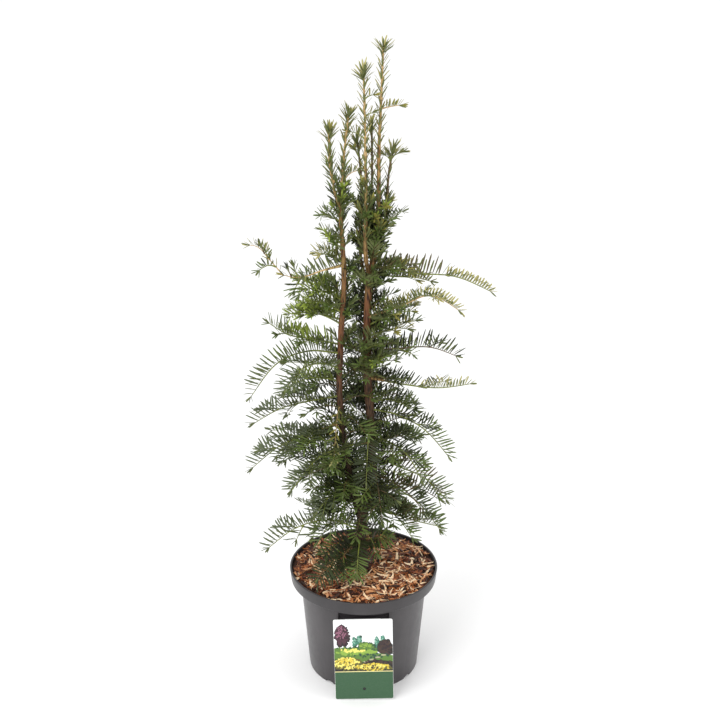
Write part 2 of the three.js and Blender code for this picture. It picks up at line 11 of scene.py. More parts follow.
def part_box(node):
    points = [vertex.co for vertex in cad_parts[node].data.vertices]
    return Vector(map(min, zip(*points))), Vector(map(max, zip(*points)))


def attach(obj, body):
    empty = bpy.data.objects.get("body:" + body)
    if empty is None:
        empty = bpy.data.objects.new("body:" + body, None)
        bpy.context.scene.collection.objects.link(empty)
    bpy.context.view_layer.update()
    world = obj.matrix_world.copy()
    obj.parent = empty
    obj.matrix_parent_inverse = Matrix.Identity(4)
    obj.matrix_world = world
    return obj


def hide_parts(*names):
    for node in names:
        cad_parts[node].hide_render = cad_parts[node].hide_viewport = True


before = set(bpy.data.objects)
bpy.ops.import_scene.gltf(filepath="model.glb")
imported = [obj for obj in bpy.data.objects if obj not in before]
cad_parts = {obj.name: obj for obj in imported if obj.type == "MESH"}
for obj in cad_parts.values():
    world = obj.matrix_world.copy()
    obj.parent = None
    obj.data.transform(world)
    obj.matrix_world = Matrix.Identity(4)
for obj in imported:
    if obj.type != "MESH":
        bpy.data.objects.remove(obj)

bl_info = {
    "name": "Potted English Yew",
    "version": (1, 0, 0),
    "blender": (4, 5, 0),
    "location": "View3D > Sidebar > Yew",
    "description": "Builds a young English yew in its nursery pot",
    "category": "Add Mesh",
}

MM = 0.001
UP = np.array([0.0, 0.0, 1.0])
FULL_TURN = 2 * math.pi
GOLDEN_ANGLE = math.radians(137.5)
# Points that a smooth line has from one of its knots to the next.
SPAN_POINTS = 16

# ---------------------------------------------------------------- the plant's plan

# The pot, as it is moulded, and the level of the mulch in it.
POT_HEIGHT = 195
LIP_HEIGHT = 22
LIP_FOOT = POT_HEIGHT - LIP_HEIGHT
LIP_RADIUS = 130
LIP_DRAFT = 2.5
NECK_RADIUS = 111.5
FOOT_RADIUS = 97
LIP_WALL = 3.5
WALL = 1.8
POT_FLOOR = 3
MULCH_LEVEL = 189
MULCH_RADIUS = LIP_RADIUS - LIP_WALL - 1.3
DRAIN = {"count": 8, "width": 17, "height": 5, "heading": 7, "reach": 7}
SEAT = {"width": 94, "front": 125.4, "bottom": 132}
SLOT = {"width": 86, "height": 12.5, "depth": 15, "drop": 2.5}
LABEL = {"width": 100, "height": 160, "thickness": 1, "corner": 3, "foot": 3, "roll": 1.3}
TONGUE = {"width": 60, "depth": 6, "drop": 3.8}
# The label's punched hole: its height over the card's foot and its radius, the width of its dark
# lining and how far its dark floor stands from the card's back. The lining and the floor are
# painted shade.
HOLE = {"height": 21, "radius": 2.5, "rim": 0.4, "floor": 0.3}
CLEAR = 0.3

# Stems: the parent, then x, y, z and radius down each route.
STEMS = {
    "trunk": (None, [
        (-5, 0, 190, 12), (-5, 0, 262, 10), (6, 0, 340, 8.4), (14, 0, 434, 7.4), (8, 0, 520, 7),
        (5, 0, 618, 6.6), (9, 0, 718, 5.6), (20, 0, 783, 4.2), (23, 0, 850, 3.5),
        (23, 0, 925, 2.8), (26, 0, 1008, 2),
    ]),
    "left_stem": ("trunk", [
        (-2, -1, 272, 6), (-23, -12, 366, 5.6), (-40, -12, 517, 5.2), (-38, -12, 615, 4.9),
        (-32, -12, 733, 4.2), (-37, -12, 838, 3), (-34, -12, 882, 2.3),
    ]),
    "second_leader": ("trunk", [
        (9, 0, 722, 3.6), (3, -10, 760, 3.6), (3, -12, 860, 2.8), (2, -12, 924, 2.1),
    ]),
    "right_leader": ("trunk", [(19, 0, 776, 2.6), (34, 12, 812, 2.5), (37, 14, 858, 2)]),
    "inner_leader": ("trunk", [(12, 0, 738, 2.6), (11, 24, 790, 2.4), (12, 29, 846, 2)]),
    "mid_leader": ("trunk", [(8, 0, 704, 2.6), (-6, 15, 760, 2.4), (-5, 15, 836, 2)]),
    "left_fork": ("left_stem", [(-37, -12, 840, 2.4), (-45, -18, 866, 2.2), (-48, -20, 884, 2)]),
}
ROOT_FLARE = {"radius": 5, "height": 22}
OLD_STEMS = ("trunk", "left_stem")

# The tops carry each stem on to its tip at x, y, z.
TOPS = {
    "trunk": (29, 0, 1101),
    "left_stem": (-24, -12, 998),
    "second_leader": (-1, -12, 1063),
    "right_leader": (45, 14, 950),
    "inner_leader": (12, 30, 974),
    "mid_leader": (-10, 15, 951),
    "left_fork": (-53, -21, 975),
}

# Side shoots: name, the stem or shoot they leave, the height there (or how far along the
# shoot), heading in degrees from +X towards +Y, reach, heights over the root at each third
# of the reach, number of main twigs and of twigs between them, and the length of bare bough.
SHOOTS = [
    ("left_high", "left_stem", 747, 188, 106, (-8, -18, -10), 0, 0, 30),
    ("left_high_tip", "left_high", 1, 186, 60, (25, 48, 51), 0, 0, 0),
    ("left_crest", "left_stem", 781, 200, 34, (8, 16, 24), 0, 3, 0),
    ("left_sprig", "left_stem", 818, 176, 30, (5, 10, 14), 0, 2, 0),
    ("left_upper_back", "left_stem", 690, 158, 78, (12, 24, 34), 3, 3, 0),
    ("left_upper", "left_stem", 655, 172, 96, (7, 9, 4), 3, 4, 0),
    ("left_shoulder", "left_stem", 612, 183, 124, (10, 18, 45), 3, 3, 0),
    ("left_droop", "left_stem", 596, 194, 156, (9, -7, -70), 0, 0, 0),
    ("left_front", "left_stem", 570, 218, 118, (18, 16, -22), 3, 3, 0),
    ("left_middle", "left_stem", 522, 199, 154, (-2, -9, -32), 3, 3, 0),
    ("left_low", "left_stem", 472, 203, 166, (-8, -22, -58), 4, 4, 36),
    ("left_low_front", "trunk", 430, 219, 176, (9, 4, -43), 4, 4, 40),
    ("left_low_back", "trunk", 385, 172, 140, (4, -10, -50), 4, 3, 0),
    ("left_foot", "trunk", 263, 196, 172, (27, 21, -16), 1, 1, 0),
    ("right_high", "trunk", 743, 4, 203, (-14, -21, -52), 0, 0, 30),
    ("right_sprig", "trunk", 814, 350, 36, (5, 9, 14), 0, 2, 0),
    ("right_crest", "trunk", 993, 0, 38, (3, 5, 6), 0, 0, 0),
    ("right_upper", "trunk", 655, 338, 164, (25, 51, 28), 3, 1, 34),
    ("right_upper_back", "trunk", 628, 24, 98, (6, 10, 8), 1, 0, 0),
    ("right_shoulder", "trunk", 597, 354, 156, (6, 10, -7), 2, 0, 0),
    ("right_middle", "trunk", 549, 347, 180, (-7, -8, 6), 1, 0, 30),
    ("right_middle_back", "trunk", 505, 14, 92, (2, -8, -30), 2, 1, 0),
    ("right_droop", "trunk", 492, 343, 142, (-4, -25, -74), 1, 0, 0),
    ("right_front", "trunk", 440, 326, 104, (-1, -14, -60), 2, 1, 0),
    ("right_low", "trunk", 408, 352, 136, (-19, -38, -84), 2, 0, 0),
    ("right_low_back", "trunk", 352, 18, 140, (-6, -24, -58), 1, 0, 0),
    ("right_foot", "trunk", 312, 338, 144, (-7, -13, -15), 3, 0, 0),
    ("front_hanging", "trunk", 470, 262, 62, (-4, -34, -94), 0, 0, 0),
    ("front_low", "trunk", 392, 282, 92, (0, -22, -70), 4, 0, 0),
    ("front_foot", "trunk", 248, 265, 78, (-4, -16, -40), 0, 0, 0),
    ("front_foot_left", "trunk", 236, 234, 130, (6, 2, -16), 2, 0, 0),
    ("back_foot", "trunk", 290, 84, 132, (10, 6, -18), 3, 2, 0),
    ("back_low", "trunk", 345, 126, 146, (4, -6, -44), 4, 2, 0),
    ("back_low_right", "trunk", 418, 58, 150, (2, -10, -48), 3, 2, 0),
    ("back_middle", "trunk", 474, 100, 152, (6, 0, -32), 4, 2, 0),
    ("back_shoulder", "trunk", 566, 66, 132, (10, 10, -4), 3, 2, 0),
    ("back_upper", "trunk", 640, 116, 108, (12, 18, 14), 3, 2, 0),
]

# Small shoots between the main ones, in the same form. A top can carry them too.
SMALL_SHOOTS = [
    ("foot_twig", "trunk", 244, 325, 66, (8, 16, 22), 2, 0, 0),
    ("foot_base", "trunk", 246, 212, 74, (6, 0, -18), 0, 0, 0),
    ("front_foot_middle", "trunk", 242, 240, 104, (2, -8, -24), 0, 0, 0),
    ("foot_hanging", "left_foot", 0.44, 205, 18, (-12, -26, -38), 0, 0, 0),
    ("foot_hanging_too", "left_foot", 0.6, 190, 18, (-12, -26, -36), 0, 0, 0),
    ("skirt_left", "trunk", 372, 206, 112, (-4, -26, -66), 4, 3, 0),
    ("skirt_right", "trunk", 372, 336, 108, (-4, -22, -58), 1, 0, 0),
    ("left_filler", "left_stem", 548, 186, 96, (8, 4, -16), 3, 2, 0),
    ("left_filler_low", "left_stem", 448, 190, 112, (0, -12, -44), 4, 3, 0),
    ("foot_left", "trunk", 328, 208, 98, (-4, -28, -72), 4, 3, 0),
    ("foot_right", "trunk", 322, 328, 100, (-2, -20, -56), 1, 0, 0),
    ("foot_back_left", "trunk", 312, 146, 104, (-2, -20, -60), 4, 3, 0),
    ("foot_back_right", "trunk", 306, 34, 112, (-2, -20, -58), 4, 3, 0),
    ("light_rosette", "trunk", 568, 326, 30, (8, 14, 18), 0, 6, 0),
    ("right_hanging", "trunk", 356, 346, 132, (-6, -30, -84), 0, 0, 0),
    ("hanging_twig", "left_stem", 505, 255, 44, (-8, -48, -92), 0, 0, 0),
    ("clump_low", "left_stem", 648, 184, 76, (14, 22, 20), 3, 3, 0),
    ("clump_middle", "left_stem", 668, 196, 74, (16, 24, 22), 3, 3, 0),
    ("clump_high", "left_stem", 688, 178, 66, (12, 20, 18), 3, 2, 0),
    ("left_spur", "left_stem", 768, 192, 24, (8, 20, 30), 0, 2, 0),
    ("left_spur_end", "left_stem", 752, 190, 52, (10, 16, 18), 0, 2, 0),
    ("high_hanging", "left_high", 0.62, 214, 18, (-12, -26, -36), 0, 0, 0),
    ("high_hanging_too", "left_high", 0.72, 200, 16, (-10, -22, -30), 0, 0, 0),
    ("high_cluster", "left_high", 0.76, 160, 11, (9, 18, 26), 0, 0, 0),
    ("high_cluster_too", "left_high", 0.86, 200, 10, (8, 16, 22), 0, 0, 0),
    ("tip_cluster", "left_high_tip", 0.5, 150, 9, (7, 14, 20), 0, 0, 0),
    ("tip_cluster_too", "left_high_tip", 0.62, 190, 9, (7, 14, 20), 0, 0, 0),
    ("left_loop", "left_stem", 880, 6, 32, (14, 19, 20), 0, 0, 0),
    ("trunk_veil", "trunk", 588, 262, 38, (10, 22, 30), 2, 0, 0),
    ("trunk_veil_low", "trunk", 560, 284, 36, (8, 18, 24), 2, 0, 0),
    ("right_upper_inner", "trunk", 640, 342, 84, (16, 30, 34), 4, 2, 0),
    ("right_upper_low", "trunk", 622, 350, 76, (10, 18, 16), 3, 2, 0),
    ("right_high_inner", "trunk", 740, 352, 68, (2, 2, -4), 3, 2, 0),
    ("right_high_under", "trunk", 730, 12, 110, (-8, -12, -24), 3, 0, 0),
    ("tip_fork", "left_high_tip", 0.24, 205, 36, (4, 0, -8), 0, 0, 0),
    ("second_twig", "second_leader_top", 0.68, 356, 24, (5, 7, 8), 0, 0, 0),
    ("second_short", "second_leader_top", 0.48, 10, 21, (3, 5, 6), 0, 0, 0),
    ("second_arc", "second_leader_top", 0.2, 178, 32, (8, 11, 10), 0, 0, 0),
    ("right_star", "right_leader_top", 0.82, 350, 25, (5, 8, 9), 0, 0, 0),
    ("right_star_back", "right_leader_top", 0.7, 110, 18, (7, 12, 16), 0, 0, 0),
    ("right_star_left", "right_leader_top", 0.75, 200, 19, (6, 10, 12), 0, 0, 0),
    ("mid_star", "mid_leader_top", 0.78, 230, 16, (8, 14, 19), 0, 0, 0),
    ("mid_star_right", "mid_leader_top", 0.7, 20, 16, (8, 14, 19), 0, 0, 0),
]


@dataclass
class Habit:
    """How the needles stand on a shoot: their spacing, their length at its middle and at its
    tip, their angles towards its tip and over its plane, their width as a share of the
    setting, and whether they go all round it or lie in two ranks."""

    pitch: float
    needle: float
    tip: float
    slant: float
    lift: float
    wide: float
    all_round: bool = False


HABITS = {
    "lateral": Habit(2.8, 29, 20, 20, 50, 1),
    "twig": Habit(2.7, 26, 17, 24, 34, 1),
    "feather": Habit(2.2, 27, 24, 22, 12, 1.05),
    "spray": Habit(2.0, 24, 23, 28, 10, 1.1),
    "comb": Habit(3.5, 30, 20, 12, 64, 1.1),
    "sparse": Habit(5.0, 34, 26, 8, 68, 1.1),
    "scant": Habit(6, 19, 16, 34, 44, 1.1),
    "upright": Habit(2.7, 20, 15, 22, 62, 1.0),
    "short": Habit(2.2, 17, 13, 10, 60, 1.1),
    "sprig": Habit(1.5, 20, 16, 48, 0, 0.95, all_round=True),
    "stem": Habit(1.5, 25, 20, 55, 0, 0.95, all_round=True),
    "leader": Habit(2.4, 21, 20, 55, 0, 1.0, all_round=True),
    "thin": Habit(4.0, 20, 20, 60, 0, 0.95, all_round=True),
}
# The star of needles that closes a leader, and the few that close any other shoot.
STAR = {"count": 28, "needle": 23, "depth": 14, "slant": (34, 64)}
BUD = {"count": 4, "needle": 14, "depth": 2.5, "slant": (48, 84)}
# Millimetres over which the needles grow to their full length from a shoot's tip and root.
TIP_RUN, ROOT_RUN = 20, 16
# Where along an axis its twigs leave it, at what angle, and how long they are: as a share of
# the rest of the axis, and from the least to the most millimetres.
BRANCHING = {"places": (0.16, 0.8), "angle": 50, "share": 0.46, "lengths": (30, 74)}
FINE_BRANCHING = {"places": (0.1, 0.8), "angle": 48, "share": 0.5, "lengths": (18, 40)}
# How twigs vary: degrees in their angle, the least share of their length and what chance adds
# to it, how far they lift over the plane and sag, and how far their own plane rolls.
TWIGS = {"angle": 16, "least": 0.8, "more": 0.4, "lift": 0.14, "sag": 0.12, "roll": 0.9}
# The length of twig, and of inner shoot, that bears one finer twig.
TWIG_STEP, INNER_TWIG_STEP = 48, 26
# Radii at the root and the tip of a shoot that reaches far, of a short one, a twig and a fine
# twig; the reach from which a shoot is long, and the radius at a top's tip.
LONG_GIRTHS = (1.7, 0.6)
SHORT_GIRTHS = (1.1, 0.5)
TWIG_GIRTHS = (0.8, 0.4)
FINE_GIRTHS = (0.6, 0.4)
LONG_REACH = 70
TOP_GIRTH = 1.7
# How far tops and shoots end short of their tips, so that their last needles end there, and
# how far a shoot is bare at its root.
TOP_SHORT, SHOOT_SHORT, BARE_ROOT = 12, 9, 8

NEEDLE_TINTS = ("shade", "deep", "green", "fresh", "olive", "tip", "bronze", "bloom")
# The tints of the needles towards the root and towards the tip, and the shoots that have them.
# The others have the plain ones.
PLAIN_TINTS = ("deep", "green")
TINTED_SHOOTS = {
    ("bloom", "olive"): ("left_high",),
    ("olive", "tip"): (
        "left_high_tip", "right_upper", "hanging_twig", "left_spur_end", "tip_cluster",
    ),
    ("green", "fresh"): ("left_crest", "left_upper_back"),
    ("green", "green"): ("left_sprig", "high_cluster"),
    ("fresh", "fresh"): ("left_upper", "light_rosette", "clump_low", "clump_middle", "clump_high"),
    ("fresh", "green"): ("left_shoulder", "left_filler"),
    ("green", "bloom"): ("left_droop",),
    ("bronze", "tip"): ("right_high",),
    ("olive", "olive"): ("right_crest", "second_twig", "second_short", "second_arc"),
    ("deep", "tip"): ("right_middle",),
    ("shade", "deep"): ("right_shoulder", "front_foot_left", "front_foot_middle", "front_low"),
    ("bronze", "green"): ("right_low", "right_foot"),
    ("bronze", "deep"): ("right_low_back", "skirt_right"),
    ("deep", "deep"): ("front_hanging", "high_cluster_too"),
    ("bloom", "bloom"): (
        "left_front", "left_middle", "left_low", "foot_hanging", "foot_hanging_too", "left_foot",
    ),
    ("deep", "bloom"): ("left_low_front", "left_filler_low", "skirt_left"),
    ("fresh", "olive"): ("left_spur", "mid_star", "mid_star_right"),
    ("olive", "deep"): ("tip_cluster_too",),
    ("green", "olive"): ("left_loop",),
    ("shade", "green"): ("trunk_veil", "trunk_veil_low"),
    ("deep", "olive"): ("right_upper_inner", "right_upper_low"),
    ("bronze", "olive"): ("right_high_inner", "right_high_under"),
    ("tip", "tip"): ("right_star", "right_star_back", "right_star_left"),
}
LEADER_TINTS = ("olive", "olive")
# Tops with tints of their own, thin tops, tops that end lower, and tops that are needled as
# densely as the stems from their root up to a share of their length.
TOP_TINTS = {
    "trunk": ("tip", "tip"), "second_leader": ("tip", "tip"), "right_leader": ("olive", "tip"),
}
THIN_TOPS = ("mid_leader", "inner_leader", "right_leader")
LOW_TOPS = {"right_leader": 9}
DENSE_TOPS = {"left_fork": 0.6, "left_stem": 0.3}
# The stems' own needles: from a low to a high place, how they stand, and their tints.
STEM_NEEDLES = [(780, 885, "stem", ("deep", "green")), (885, 1010, "leader", LEADER_TINTS)]
# The shoots whose needles stand in another way than a lateral shoot's.
HABIT_SHOOTS = {
    "comb": ("left_high", "left_droop", "right_shoulder", "left_foot"),
    "scant": ("left_high_tip", "hanging_twig"),
    "sprig": (
        "left_crest", "left_sprig", "left_spur", "high_cluster", "high_cluster_too", "tip_cluster",
        "tip_cluster_too", "light_rosette", "right_star", "right_star_back", "right_star_left",
        "mid_star", "mid_star_right",
    ),
    "sparse": ("right_high", "foot_hanging", "foot_hanging_too"),
    "short": (
        "right_crest", "tip_fork", "left_loop", "right_high_inner", "right_high_under",
        "second_twig", "second_short", "second_arc",
    ),
    "feather": ("front_hanging", "front_foot_left", "front_foot_middle", "foot_base"),
    "spray": ("front_foot", "foot_twig"),
}
# How far, in radians, a shoot's flat spray is rolled up on its left or down.
SHOOT_ROLLS = {
    "front_foot_left": -0.9,
    "front_foot_middle": -0.8,
    "foot_base": -0.8,
    "foot_twig": 1.1,
}
# Shoots whose needles turn paler from a share of their length on, and how those stand.
PALE_ENDS = {
    "left_high": (0.62, "scant"),
    "left_high_tip": (0.45, "upright"),
    "right_high": (0.6, "short"),
    "right_middle": (0.5, "upright"),
    "right_upper": (0.52, "short"),
}
# Shoots with a skin of their own. The others are green, or brown where their needles are old.
SKIN_SHOOTS = {
    "golden": (
        "left_high", "left_high_tip", "left_loop", "right_upper", "right_crest", "hanging_twig",
    ),
    "green": ("front_hanging", "front_foot", "left_foot"),
}

# Short shoots that fill the crown round each stem, from a low to a high place: the stem, the
# heights, the step, the reach, the rise as a share of the reach, how their needles stand and
# their tints. Each pair gives the least and the most.
INNER_SHOOTS = [
    ("trunk", (262, 400), 6.8, (50, 84), (-0.45, 0.1), "twig", ("shade", "green")),
    ("trunk", (400, 560), 4.8, (44, 74), (-0.3, 0.5), "twig", ("shade", "deep")),
    ("trunk", (560, 716), 5, (30, 54), (0.1, 0.9), "twig", ("shade", "green")),
    ("trunk", (716, 790), 11, (11, 20), (1.2, 2.6), "twig", ("deep", "green")),
    ("trunk", (694, 800), 7, (9, 19), (1.4, 2.6), "sprig", ("deep", "green")),
    ("trunk", (736, 826), 17, (9, 18), (1.4, 2.6), "sprig", ("fresh", "olive")),
    ("left_stem", (320, 600), 7.2, (44, 80), (-0.3, 0.5), "twig", ("deep", "green")),
    ("left_stem", (600, 760), 10, (12, 24), (0.9, 2.2), "sprig", ("deep", "green")),
    ("left_stem", (770, 820), 12, (6, 13), (1.6, 2.8), "sprig", ("green", "fresh")),
    ("left_stem", (820, 862), 6, (8, 14), (1.6, 2.8), "sprig", ("green", "fresh")),
    ("second_leader", (740, 880), 18, (7, 14), (1.6, 3.0), "sprig", ("green", "olive")),
    ("mid_leader", (715, 836), 12, (6, 13), (1.6, 2.8), "sprig", ("shade", "deep")),
    ("inner_leader", (745, 846), 13, (6, 13), (1.6, 2.8), "sprig", ("shade", "deep")),
]
# How inner shoots vary: degrees in their heading, their arch as a share of their reach, and
# radians in the roll of their plane. They are bare for these millimetres, or this share.
INNER = {"heading": 30, "arch": 0.14, "roll": 1.2, "bare": 6, "most_bare": 0.3}
# Heights between which a stem shows, so that no inner shoot leaves it towards the front.
OPEN_FRONT = {"left_stem": [(500, 800)], "trunk": [(255, 300), (380, 545), (616, 690)]}
FRONT_HEADING, OPEN_ANGLE = 270, 76
# How far the crown may pass its solids, and the gaps that twigs and needles keep to the stems
# and the pot.
CROWN_SPARE, TWIG_GAP, NEEDLE_GAP = 4, 1.5, 0.6
# How high the strips stand over the mulch's level, and how far the rim reaches in.
MULCH_SPARE, RIM_WIDTH = 1.5, 5
# How far from its root a twig, and an inner shoot, may touch a stem.
TWIG_START, INNER_START = 9, 20


def by_shoot(groups):
    """One value for each shoot, from the shoots that share each value."""
    return {shoot: value for value, shoots in groups.items() for shoot in shoots}


TINTS = by_shoot(TINTED_SHOOTS)
SHOOT_HABITS = by_shoot(HABIT_SHOOTS)
SHOOT_SKINS = by_shoot(SKIN_SHOOTS)


def chance(seed, step):
    """A repeatable number from 0 to 1 for a pair of counts."""
    wave = math.sin(seed * 12.9898 + step * 78.233) * 43758.5453
    return wave - math.floor(wave)


def blend(low, high, share):
    """The value that lies this share of the way from low to high."""
    return low + (high - low) * share


def unit(vectors):
    """Vectors, one to a row, at length one."""
    return vectors / np.linalg.norm(vectors, axis=-1, keepdims=True)


def swing(start, end, angles):
    """The ways that lie at these angles from the start ways towards the end ones."""
    return start * np.cos(angles)[:, None] + end * np.sin(angles)[:, None]


def curve_span(knots, gaps):
    """Points along the middle span of a centripetal Catmull-Rom curve through four knots."""
    a, b, c, d = knots
    before, here, after = gaps
    leave = ((b - a) / before - (c - a) / (before + here) + (c - b) / here) * here
    arrive = ((c - b) / here - (d - b) / (here + after) + (d - c) / after) * here
    t = np.linspace(0, 1, SPAN_POINTS, endpoint=False)[:, None]
    bend = (3 * (c - b) - 2 * leave - arrive) * t**2
    return b + leave * t + bend + (2 * (b - c) + leave + arrive) * t**3


class Path:
    """A smooth line through points, read by the share of its length from 0 to 1."""

    def __init__(self, points):
        inner = np.array(points, float)
        knots = np.vstack([2 * inner[0] - inner[1], inner, 2 * inner[-1] - inner[-2]])
        gaps = np.linalg.norm(np.diff(knots, axis=0), axis=1) ** 0.5
        spans = [curve_span(knots[i : i + 4], gaps[i : i + 3]) for i in range(len(inner) - 1)]
        self.points = np.vstack([*spans, inner[-1]])
        steps = np.linalg.norm(np.diff(self.points, axis=0), axis=1)
        self.reaches = np.append(0, np.cumsum(steps))
        self.length = self.reaches[-1]

    def at(self, share):
        """The point, or points, at a share of the length."""
        reach = np.asarray(share, float) * self.length
        return np.stack([np.interp(reach, self.reaches, axis) for axis in self.points.T], axis=-1)

    def way(self, share):
        """The way that the line runs at a share of its length."""
        step = 0.5 / self.length
        share = np.clip(np.asarray(share, float), step, 1 - step)
        return unit(self.at(share + step) - self.at(share - step))

    def part(self, start, end):
        """The stretch of the line between two shares."""
        return Path(self.at(np.linspace(start, end, 9)))

    def share_at_height(self, height):
        """The share where the line first comes to a height, or its end where it never does."""
        shares = np.linspace(0, 1, 400)
        above = self.at(shares)[:, 2] >= height
        return shares[np.argmax(above)] if above.any() else 1.0


@dataclass
class Axis:
    """One needled axis: its line, its plane, how its needles stand, their tints and its girth."""

    path: Path
    sideways: np.ndarray
    habit: str
    tints: tuple
    girths: tuple
    first: float = 0.0  # share of the length where the needles start
    drawn: bool = True  # whether the axis itself is a twig, and not a stem's own stretch
    tuft: bool = False  # whether a star of needles closes its tip
    skin: str = "green"  # which of the young shoots' finishes it has

    def frame(self, share):
        """The ways along the axis, to its side and over it, at a share of its length."""
        along = self.path.way(share)
        side = unit(self.sideways - (along @ self.sideways)[..., None] * along)
        return along, side, np.cross(along, side)


def stem_radius(name, height):
    """A stem's radius at a height, with the trunk's root flare."""
    _, route = STEMS[name]
    radius = np.interp(height, [row[2] for row in route], [row[3] for row in route])
    if name == "trunk":
        rise = np.asarray(height) - route[0][2]
        radius = radius + ROOT_FLARE["radius"] * np.exp(-rise / (ROOT_FLARE["height"] / 2))
    return radius


def shoot_path(root, heading, reach, thirds):
    """The line of a side shoot from its root, by its heights at each third of its reach."""
    angle = math.radians(heading)
    outward = np.array([math.cos(angle), math.sin(angle), 0])
    points = [root + outward * reach * i / 3 + UP * rise for i, rise in enumerate((0, *thirds))]
    return Path(points)


def skin_for(tints):
    """A shoot is brown where its outer needles are old, and green elsewhere."""
    return "brown" if tints[1] in ("shade", "deep", "bronze") else "green"


def side_twigs(axis, count, seed, branching, habit, girths):
    """The twigs of an axis leave it on alternate hands, shorter towards its tip."""
    twigs = []
    first, last = branching["places"]
    shortest, longest = branching["lengths"]
    step = (last - first) / max(1, count)
    for i in range(count):
        share = first + step * (i + 0.2 + 0.6 * chance(seed, i))
        hand = 1 if (i + seed) % 2 == 0 else -1
        root = axis.path.at(share)
        along, side, lift = axis.frame(share)
        turn = TWIGS["angle"] * chance(seed, i + 20)
        angle = math.radians(branching["angle"] - TWIGS["angle"] / 2 + turn)
        length = axis.path.length * (1.1 - share) * branching["share"]
        length *= TWIGS["least"] + TWIGS["more"] * chance(seed, i + 40)
        length = min(max(length, shortest), longest)
        way = along * math.cos(angle) + side * hand * math.sin(angle) + lift * TWIGS["lift"]
        bend = root + way * length / 2
        tip = root + way * length - UP * length * TWIGS["sag"]
        tints = axis.tints if share > 0.45 else (axis.tints[0], PLAIN_TINTS[1])
        plane = unit(np.cross(lift, way) + UP * (chance(seed, i + 60) - 0.5) * TWIGS["roll"])
        path = Path([root, bend, tip])
        twigs.append(Axis(path, plane, habit, tints, girths, skin=skin_for(tints)))
    return twigs


def across(heading, roll=0.0):
    """The way across a heading, level or rolled up, in which a shoot's needles spread."""
    angle = math.radians(heading)
    level = math.cos(roll)
    return np.array([-math.sin(angle) * level, math.cos(angle) * level, math.sin(roll)])


class Room:
    """The space that stems, pot and mulch leave, and the reach that the crown keeps to."""

    def __init__(self, stems):
        spine = [
            (point, stem_radius(name, point[2]))
            for name, path in stems.items()
            for point in path.at(np.linspace(0, 1, round(path.length / 3)))
        ]
        self.tree = kdtree.KDTree(len(spine))
        for i, (point, _) in enumerate(spine):
            self.tree.insert(Vector(point), i)
        self.tree.balance()
        self.girths = [float(girth) for _, girth in spine]
        corners = [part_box(name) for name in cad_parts]
        self.low = np.min([low for low, _ in corners], axis=0) / MM - CROWN_SPARE
        self.high = np.max([high for _, high in corners], axis=0) / MM + CROWN_SPARE

    def holds(self, point, gap):
        """Whether a point is clear of the stems and the pot, and inside the reach."""
        if np.any(point < self.low) or np.any(point > self.high):
            return False
        radius = math.hypot(point[0], point[1])
        over_rim = radius > MULCH_RADIUS - RIM_WIDTH
        rim = POT_HEIGHT if over_rim else MULCH_LEVEL + MULCH_SPARE
        if radius < LIP_RADIUS + gap and point[2] < rim + gap:
            return False
        _, nearest, distance = self.tree.find(Vector(point))
        return distance > self.girths[nearest] + gap


def axis_fits(axis, room, start=TWIG_START):
    """Whether an axis has room, but for the millimetres at its start."""
    shares = np.linspace(min(0.9, start / axis.path.length), 1, 9)
    return all(room.holds(point, TWIG_GAP) for point in axis.path.at(shares))


@functools.cache
def plant_plan():
    """The stems' lines, the bare boughs, every needled axis from the tops to the finest twigs,
    and the room that they keep to."""
    stems = {name: Path([row[:3] for row in route]) for name, (_, route) in STEMS.items()}
    room = Room(stems)
    axes, boughs = [], {}
    lines = {f"{name}_top": add_top(axes, name, stems[name]) for name in TOPS}
    for seed, row in enumerate(SHOOTS + SMALL_SHOOTS):
        name, parent, where, heading, reach, thirds, *counts, bare = row
        if parent in stems:
            root = stems[parent].at(stems[parent].share_at_height(where))
        else:
            root = lines[parent].at(where)
        whole = shoot_path(root, heading, reach, thirds)
        path = whole.part(0, 1 - SHOOT_SHORT / whole.length)
        lines[name] = path
        if bare:
            boughs[name] = (path, bare / path.length)
        girths = LONG_GIRTHS if reach > LONG_REACH else SHORT_GIRTHS
        add_shoot(axes, name, path, across(heading, SHOOT_ROLLS.get(name, 0)), girths,
                  counts, seed, room)
    add_inner_shoots(axes, stems, room)
    return stems, boughs, axes, room


def add_top(axes, name, stem):
    """The needled top that carries a stem on, and the stem's own needles; returns its line."""
    root = stem.at(1)
    end = np.array(TOPS[name], float) - UP * (TOP_SHORT + LOW_TOPS.get(name, 0))
    bend = root + stem.way(1) * np.linalg.norm(end - root) * 0.4
    girths = (stem_radius(name, root[2]), TOP_GIRTH)
    top = Path([root, bend, end])
    habit, skin = ("thin", "brown") if name in THIN_TOPS else ("leader", "golden")
    tints = TOP_TINTS.get(name, LEADER_TINTS)
    axes.append(Axis(top, across(90), habit, tints, girths, tuft=True, skin=skin))
    if name in DENSE_TOPS:
        dense = top.part(0, DENSE_TOPS[name])
        axes.append(Axis(dense, across(90), "stem", ("green", "fresh"), girths, drawn=False))
    for low, high, habit, tints in STEM_NEEDLES:
        start, end = stem.share_at_height(low), stem.share_at_height(high)
        if start < end:
            stretch = stem.part(start, end)
            axes.append(Axis(stretch, across(90), habit, tints, girths, drawn=False))
    return top


def add_shoot(axes, name, path, plane, girths, counts, seed, room):
    """A side shoot, with its main twigs and the twigs between them."""
    habit = SHOOT_HABITS.get(name, "lateral")
    tints = TINTS.get(name, PLAIN_TINTS)
    skin = SHOOT_SKINS.get(name, skin_for(tints))
    main = Axis(path, plane, habit, tints, girths, BARE_ROOT / path.length, skin=skin)
    axes.extend(split_axis(main, *PALE_ENDS[name]) if name in PALE_ENDS else [main])
    twigs = []
    for order, count in enumerate(counts):
        twigs += side_twigs(main, count, seed + 100 * order, BRANCHING, "twig", TWIG_GIRTHS)
    add_twigs(axes, twigs, seed, room)


